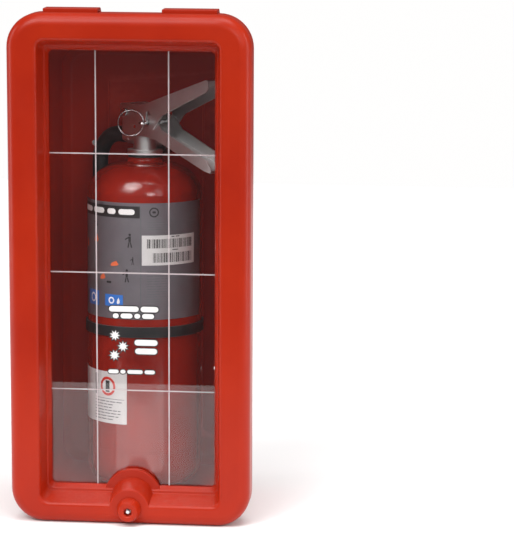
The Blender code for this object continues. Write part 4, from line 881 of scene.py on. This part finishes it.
def text_bars(left, right, top, rows, pitch, thick):
    """Rows of plain bars in the place of small print."""
    bars = []
    for row in range(rows):
        x = left
        low = top - row * pitch - thick
        end = right - (right - left) * DRAWS.choice((0, 0, 0.1, 0.3))
        while x < end - 2 * MM:
            stop = min(end, x + DRAWS.uniform(3, 9) * MM)
            bars.append(rect(x, stop, low, low + thick))
            x = stop + 1.1 * MM
    return bars


# ---------------------------------------------------------------- side stickers

STICKER_Y = (-123 * MM, -18 * MM)
STICKER_Z = (-130 * MM, 94 * MM)
TANK_Y = -76.5 * MM
TANK_HALF = 28.5 * MM
TANK_Z = (-128 * MM, 59 * MM)
COVER_RISE = LEANING.translation.z


def tank_outline():
    """A tank with a round foot, a domed shoulder and a neck."""
    low, high = TANK_Z
    foot = 7 * MM
    shoulder = high - 33 * MM
    neck = 9.5 * MM
    right = (arc((TANK_Y + TANK_HALF - foot, low + foot), foot, -90, 0, 6)
             + arc((TANK_Y + TANK_HALF - 16 * MM, shoulder), 16 * MM, 0, 62, 8)
             + [(TANK_Y + neck + MM, high - 10 * MM), (TANK_Y + neck, high - 6 * MM), (TANK_Y + neck, high)])
    left = [(2 * TANK_Y - a, b) for a, b in reversed(right)]
    return right + left


def lever_outline(start, end, thick_start, thick_end):
    """A lever that tapers to a round tip."""
    first, last = Vector(start), Vector(end)
    along = (last - first).normalized()
    angle = math.degrees(math.atan2(along.y, along.x))
    return (arc(tuple(last), thick_end / 2, angle - 90, angle + 90, 6)
            + arc(tuple(first), thick_start / 2, angle + 90, angle + 270, 6))


def sticker_layers():
    """Each layer of a side sticker, from the film outwards: (name, material, outlines)."""
    valve = (TANK_Y + 2.8 * MM, 70 * MM)
    upper_pin, lower_pin = (TANK_Y - 2 * MM, 79.5 * MM), (TANK_Y + 14 * MM, 71 * MM)
    upper = lever_outline(upper_pin, (TANK_Y + 37 * MM, 89 * MM), 7 * MM, 5 * MM)
    lower = lever_outline(lower_pin, (TANK_Y + 36 * MM, 60 * MM), 8 * MM, 5 * MM)
    grip = rect(TANK_Y - 23 * MM, TANK_Y - 8.5 * MM, 65.5 * MM, 74 * MM)
    bend = (TANK_Y - 22 * MM, 54 * MM)
    hose = (arc(bend, 19.5 * MM, 90, 180, 10)
            + [(TANK_Y - 41.5 * MM, -62 * MM), (TANK_Y - 32.5 * MM, -62 * MM)]
            + arc(bend, 10.5 * MM, 180, 90, 10))
    nozzle = [(TANK_Y - 42.5 * MM, -61 * MM), (TANK_Y - 31.5 * MM, -61 * MM), (TANK_Y - 33.5 * MM, -68 * MM),
              (TANK_Y - 32.5 * MM, -78 * MM), (TANK_Y - 41.5 * MM, -78 * MM), (TANK_Y - 40.5 * MM, -68 * MM)]
    tank = tank_outline()
    disc = arc(valve, 10 * MM, 0, 348, 29)
    silver = [tank, upper, lower, grip]
    flame_places = (2, -46, -94)
    flames = [flame((TANK_Y, middle * MM), 30 * MM, 44 * MM) for middle in flame_places]
    cores = [flame((TANK_Y - 0.6 * MM, (middle - 8) * MM), 14 * MM, 20 * MM, 0.1) for middle in flame_places]
    pins = [arc(pin, 1.4 * MM, 0, 330, 11) for pin in (upper_pin, lower_pin)]
    hand = (ring_marks((valve[0], valve[1] - 1.6 * MM), 2.4 * MM, 1.5 * MM)
            + [rect(valve[0] - 0.5 * MM, valve[0] + 0.5 * MM, valve[1] + 0.6 * MM, valve[1] + 6 * MM)])
    low, high = STICKER_Z
    front, back = STICKER_Y
    return [
        ("film", "red_film", "red_plastic", [rect(front, back, low, high)]),
        ("outline", "black_ink", "black_plastic", [grown(shape, 1.0 * MM) for shape in silver + [disc]]),
        ("hose", "black_ink", "black_plastic", [hose, nozzle]),
        ("tank", "silver_tank_ink", "printed_label", silver),
        ("outline_marks", "black_ink", "black_plastic",
         [grown(shape, 1.0 * MM) for shape in flames] + pins),
        ("flames", "red_ink", "red_plastic", flames + [disc]),
        ("marks", "white_ink", "white_label", cores + hand),
    ]


def make_stickers(tub):
    MATERIALS["silver_tank_ink"] = silver_print("silver_tank_ink", TANK_Y, TANK_HALF)
    tree = BVHTree.FromPolygons([vert.co for vert in tub.vertices], [face.vertices for face in tub.polygons])
    for side, side_name in ((1, "right"), (-1, "left")):
        for level, (name, material, slot, outlines) in enumerate(sticker_layers()):
            def on_wall(point, lift=(level + 0.4) * FILM, side=side):
                start = Vector((side * 0.2, point.x, point.z + COVER_RISE))
                hit = tree.ray_cast(start, Vector((-side, 0, 0)))[0]
                return Vector((hit.x + side * (lift - point.y), point.x, point.z + COVER_RISE))
            printed("%s_sticker_%s" % (side_name, name), outlines, on_wall, 6 * MM, "cabinet", slot, material)


# ---------------------------------------------------------------- break panel

def on_panel(lift):
    """Laid on the front of the panel, lift out from it."""
    return lambda point: LEANING @ Vector((point.x, PANEL_FRONT - lift + point.y, point.z))


def broken_bars(left, right, low, high, parts):
    """One line of a notice as a few plain bars."""
    gap = 1.6 * MM
    width = (right - left - gap * (len(parts) - 1)) / sum(parts)
    x = left
    bars = []
    for part in parts:
        bars.append(capsule(x, x + part * width, low, high))
        x += part * width + gap
    return bars


def make_panel():
    panel = box_mesh("clear_sheet", PANEL_BOX[0], PANEL_BOX[1], 0.25 * MM, LEANING)
    piece("clear_break_panel", panel, "cover", "clear_panel", "clear_panel", "break_panel")
    half = PANEL_BOX[1].x - 1.0 * MM
    low = PANEL_BOX[0].z + 1.0 * MM
    high = PANEL_BOX[1].z - 1.0 * MM
    line = 0.6 * MM
    score = 33.5 * MM
    scores = [rect(x - line, x + line, low, high) for x in (-score, score)]
    edges = [-half, -score - line, -score + line, score - line, score + line, half]
    for middle in (-114 * MM, -4 * MM, 106 * MM):
        scores += [rect(left, right, middle - line, middle + line) for left, right
                   in zip(edges[0::2], edges[1::2])]
    notice = []
    for left, right, bottom, top, parts in (
            (-22.2, 23.8, -40.2, -35, (5, 3)), (-18.7, 19.7, -46.4, -41.8, (1, 2, 1, 2)),
            (1.4, 22.9, -71.6, -66.2, (1,)), (2, 22.5, -79.7, -74.3, (1,)),
            (-23.1, 20.3, -98.4, -94.8, (2, 1, 3, 2))):
        notice += broken_bars(left * MM, right * MM, bottom * MM, top * MM, parts)
    strikes = [burst((x * MM, z * MM), 5 * MM, 2.5 * MM, 9, turn)
               for x, z, turn in ((-16.8, -62.5, 0), (-9.3, -72.8, 0.2), (-17.2, -81.2, 0.4))]
    outline = [grown(shape, 0.9 * MM) for shape in notice + strikes]
    lift = 0.02 * MM
    for name, outlines, height, slot, material in (
            ("score_lines", scores, lift, "clear_panel", "score_haze"),
            ("notice_outline", outline, lift, "black_plastic", "black_ink"),
            ("notice_print", notice + strikes, lift + FILM, "white_label", "white_ink")):
        printed(name, outlines, on_panel(height), 40 * MM, "cover", slot, material)


def make_clips():
    for number in range(1, 7):
        clip = "panel_clip_%d" % number
        screw = "clip_screw_%d" % number
        piece("clip_%d" % number, copied(clip, 0.4 * MM), "cover", "red_clip", "red_clip", clip)
        piece("pan_screw_%d" % number, copied(screw, 0.15 * MM, 40), "cover", "steel", "bright_steel",
              screw)


# ---------------------------------------------------------------- lock screw

def make_lock():
    lay = LEANING @ Matrix.Translation((0, 0, LOCK_Z)) @ Matrix.Rotation(-math.pi / 2, 4, "X")
    base, tip, front = 11.2 * MM, 8.5 * MM, -9.6 * MM
    profile = [(0, -0.3 * MM), (base, -0.3 * MM), (base, -1.5 * MM), (tip + 0.6 * MM, front + 0.8 * MM),
               (tip, front), (5.2 * MM, front), (4.9 * MM, front + 0.5 * MM), (0, front + 0.5 * MM)]
    head = spun("screw_head", profile, 96, lay, 0.35 * MM)
    hexagon = arc((0, LOCK_Z), 4.1 * MM, 30, 330, 5)
    recess = pressed("hex_recess", hexagon, front - 2 * MM, front + 5 * MM, LEANING)
    flutes = []
    flute_count = 18
    for step in range(flute_count):
        angle = 2 * math.pi * step / flute_count
        at = (base * math.cos(angle), 0, LOCK_Z + base * math.sin(angle))
        flutes.append(rod("flute", 0.75 * MM, front - 2 * MM, -3.2 * MM, at, 12, place=LEANING))
    bore = rod("stud_bore", 3.3 * MM, front + 5.6 * MM, 2 * MM, (0, 0, LOCK_Z), place=LEANING)
    pin_bore = rod("pin_bore", 1.9 * MM, front, 0, (0, 0, LOCK_Z), place=LEANING)
    head = carved(head, "DIFFERENCE", recess, bore, pin_bore, *flutes)
    piece("screw_head", head, "lock_screw", "red_plastic", "red_moulding", "lock_head")

    radius, root, pitch = 3 * MM, 2.5 * MM, 1.25 * MM
    thread_start, thread_end = 24 * MM, 43.4 * MM
    stud = [(0, 44 * MM), (2.2 * MM, 44 * MM), (root, thread_end)]
    for turn in range(int((thread_end - thread_start) / pitch)):
        at = thread_end - turn * pitch
        stud += [(radius, at - pitch * 0.3), (radius, at - pitch * 0.45), (root, at - pitch * 0.85)]
    shoulder = front + 5.9 * MM
    pin, pin_front = 1.6 * MM, front + 1.2 * MM
    stud += [(radius, thread_start - MM), (radius, shoulder), (pin, shoulder), (pin, pin_front),
             (0, pin_front)]
    piece("lock_screw_stud", spun("stud", stud, 48, lay), "lock_screw", "steel", "bright_steel",
          "lock_stud")
    piece("captive_washer", copied("lock_washer", 0.2 * MM), "lock_washer", "steel", "bright_steel",
          "lock_washer")
    piece("brass_insert", copied("threaded_insert", 0.2 * MM), "cabinet", "brass", "turned_brass",
          "threaded_insert")


# ---------------------------------------------------------------- bottle

def bottle_outside():
    """The bottle from the middle of its base to its neck, with a rolled foot, a seam and a collar."""
    foot_centre = BOTTLE_RADIUS - BOTTLE_FOOT
    points = [(0, 5 * MM), (foot_centre * 0.6, 4 * MM)]
    points += arc((foot_centre, BOTTLE_FOOT), BOTTLE_FOOT, -90, 0, 12)
    for height in SEAM_HEIGHTS:
        points += arc((BOTTLE_RADIUS, height), 0.12 * MM, -90, 90, 2)
    for step in range(1, 17):
        angle = math.radians(5 * step)
        points.append((NECK_RADIUS + (BOTTLE_RADIUS - NECK_RADIUS) * math.cos(angle),
                       BOTTLE_SHOULDER + BOTTLE_DOME * math.sin(angle)))
    dome_top = BOTTLE_SHOULDER + BOTTLE_DOME
    points += [(NECK_RADIUS + 1.6 * MM, dome_top), (NECK_RADIUS + 0.4 * MM, dome_top + 1.4 * MM)]
    points += [(NECK_RADIUS, dome_top + 2 * MM), (NECK_RADIUS, NECK_TOP - 0.6 * MM),
               (NECK_RADIUS - 0.6 * MM, NECK_TOP)]
    return points


def make_bottle():
    wall = 1.5 * MM
    inside = [(max(0, radius - wall), height + wall * (height < 10 * MM))
              for radius, height in bottle_outside() if height < BOTTLE_SHOULDER]
    dome = []
    for step in range(15):
        angle = math.radians(5 * step)
        dome.append((NECK_RADIUS - wall + (BOTTLE_RADIUS - NECK_RADIUS) * math.cos(angle),
                     BOTTLE_SHOULDER + (BOTTLE_DOME - wall) * math.sin(angle)))
    inside = [(0, 6.5 * MM)] + inside[1:] + dome + [(THREAD_RADIUS, BOTTLE_SHOULDER + BOTTLE_DOME - wall)]
    profile = bottle_outside() + [(THREAD_RADIUS, NECK_TOP)] + inside[::-1]
    piece("steel_bottle", spun("steel_bottle", profile, BOTTLE_SIDES, STANDING), "bottle", "red_paint",
          "shaded_red_enamel", "cylinder_shell")
    low, high = local_box("hose_strap", STANDING)
    inner, outer = BOTTLE_RADIUS + 0.25 * MM, high.x
    band = [(inner, low.z), (outer, low.z), (outer, high.z), (inner, high.z)]
    piece("strap_band", spun("strap_band", band, BOTTLE_SIDES, STANDING, 0.45 * MM), "bottle", "black_plastic",
          "black_moulding", "hose_strap")
    piece("hose_hook", copied("hose_clip", 0.35 * MM), "bottle", "black_plastic", "black_moulding",
          "hose_clip")


def on_bottle(lift):
    """Wrapped round the bottle: X becomes the way round, from the bottle's -Y."""
    def wrap(point):
        angle = point.x / BOTTLE_RADIUS - math.pi / 2
        radius = BOTTLE_RADIUS + lift - point.y
        return STANDING @ Vector((radius * math.cos(angle), radius * math.sin(angle), point.z))
    return wrap


def round_way(degrees):
    """Length round the bottle of an angle."""
    return math.radians(degrees) * BOTTLE_RADIUS


def span(first, last, low, high):
    """A rectangle on the bottle: angles in degrees, heights in millimetres."""
    return rect(round_way(first), round_way(last), low * MM, high * MM)


def at_angle(degrees, height):
    return (round_way(degrees), height * MM)


def label_layers():
    """The printed layers of the labels, each with its height above the bottle in films."""
    header = [span(-43.5, 43, 259, 270)]
    divider = [span(43.4, 44.4, 166, 270)]
    frames = [span(-43.5, 43, 257.8, 258.3), span(48, 118, 257.4, 257.8)]
    small_print = (text_bars(round_way(50), round_way(117), 255.5 * MM, 4, 2.2 * MM, 0.75 * MM)
                   + text_bars(round_way(50), round_way(117), 210 * MM, 17, 2.4 * MM, 0.75 * MM)
                   + text_bars(round_way(-2), round_way(20), 251 * MM, 2, 2.4 * MM, 0.7 * MM)
                   + text_bars(round_way(12), round_way(30), 226 * MM, 3, 2.4 * MM, 0.7 * MM)
                   + text_bars(round_way(-10), round_way(12), 198 * MM, 3, 2.4 * MM, 0.7 * MM))
    seal = (ring_marks(at_angle(57, 264.5), 4.6 * MM, 3.4 * MM)
            + [capsule(round_way(55.2), round_way(58.8), 263.6 * MM, 265.6 * MM)])
    people = (figure(at_angle(33, 238), 13 * MM) + figure(at_angle(30, 205), 12 * MM)
              + figure(at_angle(36, 219), 7 * MM))
    hands = [flame(at_angle(-8, 251), 5 * MM, 5 * MM, 0.4),
             capsule(round_way(7), round_way(13), 197 * MM, 199 * MM),
             capsule(round_way(-12), round_way(-7), 252 * MM, 254 * MM)]
    flames = [flame(at_angle(-8, 238), 7 * MM, 8 * MM), flame(at_angle(17, 216), 9 * MM, 5 * MM, 0.3),
              flame(at_angle(2, 203), 7 * MM, 6 * MM, 0.3), flame(at_angle(-30, 232), 6 * MM, 9 * MM)]
    bars_header = [capsule(round_way(a), round_way(b), 262 * MM, 267.2 * MM) for a, b
                   in ((-38, -16), (-13, 4), (8, 18), (21, 38))]
    tiles = [span(-24, -4, 174.5, 188.5), span(5, 26, 175.5, 186.5)]
    tile_marks = (ring_marks(at_angle(-14, 181.5), 4.4 * MM, 3.0 * MM)
                  + ring_marks(at_angle(13, 181), 3.2 * MM, 1.9 * MM)
                  + [flame(at_angle(21, 181), 3.4 * MM, 6 * MM)])
    return [
        ("grey", "grey_ink", small_print + frames + divider, 1),
        ("black", "black_ink", header + seal + people + hands, 1),
        ("orange", "orange_ink", flames, 1),
        ("blue", "blue_ink", tiles, 1),
        ("white", "white_ink", bars_header + tile_marks, 2),
    ]


def bar_code(first, last, low, high):
    """Upright bars of a few widths."""
    bars = []
    x = round_way(first)
    while x < round_way(last) - MM:
        width = DRAWS.choice((0.4, 0.4, 0.7, 1.0)) * MM
        bars.append(rect(x, x + width, low * MM, high * MM))
        x += width + DRAWS.choice((0.4, 0.6, 0.9)) * MM
    return bars


def make_labels():
    film = 0.16 * MM
    sticker = film + 2 * FILM

    def lay(name, outlines, lift, slot, material, *nodes):
        printed(name, outlines, on_bottle(lift), 2 * MM, "bottle", slot, material, *nodes)

    lay("label_film", [span(-45, 120, 164, 273)], film, "printed_label", "shaded_silver_film", "instruction_label")
    for name, material, outlines, level in label_layers():
        lay("label_" + name, outlines, film + level * FILM, "printed_label", material)
    lay("code_film", [span(45, 105, 215, 243)], sticker, "white_label", "white_film", "bar_sticker")
    code = (bar_code(50, 102, 231, 239.5) + bar_code(56, 102, 217.5, 226.5)
            + text_bars(round_way(75), round_way(88), 242 * MM, 1, 2 * MM, 0.8 * MM)
            + text_bars(round_way(76), round_way(87), 229.6 * MM, 1, 2 * MM, 0.8 * MM))
    lay("code_bars", code, sticker + FILM, "white_label", "black_ink")
    lay("lower_film", [span(-60, 30, 64, 113)], film, "white_label", "white_film", "lower_label")
    lower_print = (text_bars(round_way(-10), round_way(27), 85 * MM, 7, 2.8 * MM, 0.9 * MM)
                   + [span(-10, 27, 87, 87.5)])
    lay("lower_print", lower_print, film + FILM, "white_label", "grey_ink")
    lay("lower_emblem", ring_marks(at_angle(8, 99), 9 * MM, 6.6 * MM), film + FILM, "white_label", "red_ink")
    lay("lower_marks", [span(5.5, 10.5, 93.6, 104.4), span(-10, -6, 90, 110)], film + FILM, "white_label",
        "black_ink")


# ---------------------------------------------------------------- valve, levers and hose

def make_valve():
    for name, source, slot, material, ease in (
            ("valve_block", "valve_body", "plated_metal", "satin_nickel", 0.35 * MM),
            ("fixed_handle", "carry_handle", "plated_metal", "satin_nickel", 0.4 * MM),
            ("pivot_pin", "lever_pivot_pin", "steel", "bright_steel", 0.3 * MM),
            ("gauge_bezel", "gauge_case", "steel", "bright_steel", 0.3 * MM),
            ("outlet_coupling", "hose_coupling", "plated_metal", "satin_nickel", 0.5 * MM),
            ("crimped_ferrule", "nozzle_ferrule", "steel", "bright_steel", 0.25 * MM),
            ("moulded_nozzle", "nozzle", "black_plastic", "black_moulding", 0.4 * MM)):
        piece(name, copied(source, ease), "bottle", slot, material, source)
    piece("upper_lever", copied("squeeze_lever", 0.4 * MM), "lever", "plated_metal",
          "satin_nickel", "squeeze_lever")
    piece("safety_pin", copied("pull_pin", 0.2 * MM, 40), "pull_pin", "steel", "bright_steel",
          "pull_pin")


def make_ring():
    """A split ring: two turns of wire side by side."""
    low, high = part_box("pull_ring")
    centre = (low + high) / 2
    hinge = Vector(joint("ring_swing")["pos_m"])
    away = centre - hinge
    away.z = 0
    away.normalize()
    side = Vector((-away.y, away.x, 0))
    wire = 0.5 * MM
    radius = (high.z - low.z) / 2 - 2 * wire + 0.4 * MM
    turns, steps = 2, 128
    points = []
    for step in range(steps + 1):
        angle = 2 * math.pi * turns * step / steps
        drift = (step / steps - 0.5) * 1.1 * MM
        spoke = math.cos(angle) * away + math.sin(angle) * Vector((0, 0, 1))
        points.append(centre + radius * spoke + drift * side)
    piece("split_ring", swept("split_ring", points, wire, Matrix()), "pull_ring", "steel",
          "bright_steel", "pull_ring", level_normals=False)


def make_hose():
    low, high = local_box("discharge_hose", STANDING)
    start, end = high.x, low.z
    bend = HOSE_BEND - HOSE_OFFSET
    route = [(start, OUTLET_HEIGHT), ((start + bend) / 2, OUTLET_HEIGHT)]
    route += arc((bend, OUTLET_HEIGHT - HOSE_BEND), HOSE_BEND, 90, 180, 24)
    drop = OUTLET_HEIGHT - HOSE_BEND
    route += [(-HOSE_OFFSET, drop + (end - drop) * step / 12) for step in range(1, 13)]
    points = [(x, 0, z) for x, z in route]
    piece("black_hose", swept("black_hose", points, HOSE_RADIUS, STANDING, sides=10), "bottle", "hose_rubber",
          "hose_cover", "discharge_hose", level_normals=False)


def make_dial():
    """A coloured scale and its tick marks on the gauge's dial, which faces the bottle's +Y."""
    low, high = local_box("gauge_dial", STANDING)
    centre = ((low.x + high.x) / 2, (low.z + high.z) / 2)
    face = high.y

    def on_dial(point):
        return STANDING @ Vector((point.x, face + 0.02 * MM - point.y, point.z))

    def band(start, end):
        return arc(centre, 8.2 * MM, start, end, 10) + arc(centre, 6.6 * MM, end, start, 10)

    ticks = []
    for angle in range(-30, 211, 30):
        turn = math.radians(angle)
        along = Vector((math.cos(turn), math.sin(turn)))
        side = Vector((-along.y, along.x)) * 0.16 * MM
        first, last = Vector(centre) + along * 8.4 * MM, Vector(centre) + along * 9.6 * MM
        ticks.append([tuple(first - side), tuple(last - side), tuple(last + side), tuple(first + side)])
    for name, material, outlines in (("green", "green_ink", [band(50, 100)]),
                                     ("red", "red_ink", [band(-30, 48), band(102, 210)]),
                                     ("ticks", "black_ink", ticks)):
        printed("dial_" + name, outlines, on_dial, 2.5 * MM, "bottle", "white_label", material)


def finish_packed_nodes():
    """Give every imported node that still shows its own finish."""
    finishes = {
        "turned_brass": ("valve_stem", "bourdon_tube"),
        "seal_rubber": ("stem_seal", "neck_seal"),
        "bright_steel": ("valve_spring", "handle_rivet_1", "handle_rivet_2"),
        "black_moulding": ("siphon_tube", "gauge_needle"),
        "stored_powder": ("powder_charge",),
        "white_film": ("gauge_dial",),
        "clear_lens": ("gauge_lens",),
    }
    for material, nodes in finishes.items():
        for name in nodes:
            slots = frame["nodes"][name].data.materials
            slots.clear()
            slots.append(MATERIALS[material])


# ---------------------------------------------------------------- stage, lamps and camera

def plain(name, colour, roughness):
    return finish(name, colour, roughness, second=shade(colour, 0.985), cloud=3.0, relief_scale=60.0,
                  depth=0.02 * MM, smudge=0.05)


def make_stage():
    low = CAD_BOX[0].z
    bm = bmesh.new()
    bmesh.ops.create_grid(bm, x_segments=1, y_segments=1, size=0.5)
    front, back = -0.65, 2.6
    place = Matrix.Translation((0, (front + back) / 2, low)) @ Matrix.Diagonal((6.0, back - front, 1, 1))
    bmesh.ops.transform(bm, matrix=place, verts=bm.verts)
    floor = bpy.data.objects.new("floor", mesh_of("floor", bm))
    floor.data.materials.append(plain("pale_floor", (0.86, 0.855, 0.855), 0.9))
    bpy.context.scene.collection.objects.link(floor)


def sun(name, at, strength, spread):
    data = bpy.data.lights.new(name, "SUN")
    data.energy = strength
    data.angle = math.radians(spread)
    made = bpy.data.objects.new(name, data)
    made.rotation_euler = (-Vector(at)).to_track_quat("-Z", "Y").to_euler()
    bpy.context.scene.collection.objects.link(made)


def lamp(name, at, size, power, aim=(0, -0.1, 0)):
    data = bpy.data.lights.new(name, "AREA")
    data.shape = "RECTANGLE"
    data.size, data.size_y = size
    data.energy = power
    made = bpy.data.objects.new(name, data)
    made.location = at
    made.rotation_euler = (Vector(aim) - Vector(at)).to_track_quat("-Z", "Y").to_euler()
    bpy.context.scene.collection.objects.link(made)


def make_lamps():
    sun("key", (-0.35, -0.75, 0.9), 1.4, 30)
    sun("above", (0.15, -0.2, 1.0), 1.9, 40)
    lamp("front", (-0.9, -1.7, 1.3), (0.9, 0.8), 9)
    lamp("fill", (1.5, -1.5, 0.9), (1.0, 1.2), 6)
    lamp("into_window", (0.75, -2.1, 0.75), (0.6, 0.5), 6)
    lamp("left_strip", (-1.3, -0.25, 0.3), (0.3, 1.2), 5)
    lamp("right_strip", (1.3, -0.25, 0.3), (0.3, 1.2), 5)
    world = bpy.data.worlds.new("studio")
    bpy.context.scene.world = world
    world.use_nodes = True
    tree = world.node_tree
    paths = node(tree, "LightPath").outputs
    ambient = ramp(tree, paths["Is Glossy Ray"], 0.0, 1.0, 0.42, 0.12)
    strength = node(tree, "Mix", {"data_type": "FLOAT"})
    feed(tree, paths["Is Camera Ray"], strength.inputs[0])
    feed(tree, ambient, strength.inputs[2])
    feed(tree, 1.0, strength.inputs[3])
    back = tree.nodes["Background"]
    back.inputs["Color"].default_value = (1.0, 0.995, 0.99, 1)
    feed(tree, strength.outputs[0], back.inputs["Strength"])


def make_camera():
    """From a little to the right and above, panned so that the cabinet fills the frame's left half."""
    turn, rise, distance = math.radians(8.5), math.radians(8.5), 2.35
    pan = math.atan(117 * MM / distance)
    away = Vector((math.sin(turn) * math.cos(rise), -math.cos(turn) * math.cos(rise), math.sin(rise)))
    data = bpy.data.cameras.new("camera")
    data.lens = 170
    camera = bpy.data.objects.new("camera", data)
    aim = (-away).to_track_quat("-Z", "Y").to_matrix().to_4x4()
    camera.matrix_world = (Matrix.Translation(LEANING.translation + distance * away) @ aim
                           @ Matrix.Rotation(-pan, 4, "Y"))
    bpy.context.scene.collection.objects.link(camera)
    bpy.context.scene.camera = camera
    bpy.context.scene.view_settings.view_transform = "Standard"


# ---------------------------------------------------------------- build

make_camera()
make_stage()
make_lamps()
make_cover()
make_stickers(make_cabinet())
make_panel()
make_clips()
make_lock()
make_bottle()
make_labels()
make_valve()
make_ring()
make_hose()
make_dial()
finish_packed_nodes()
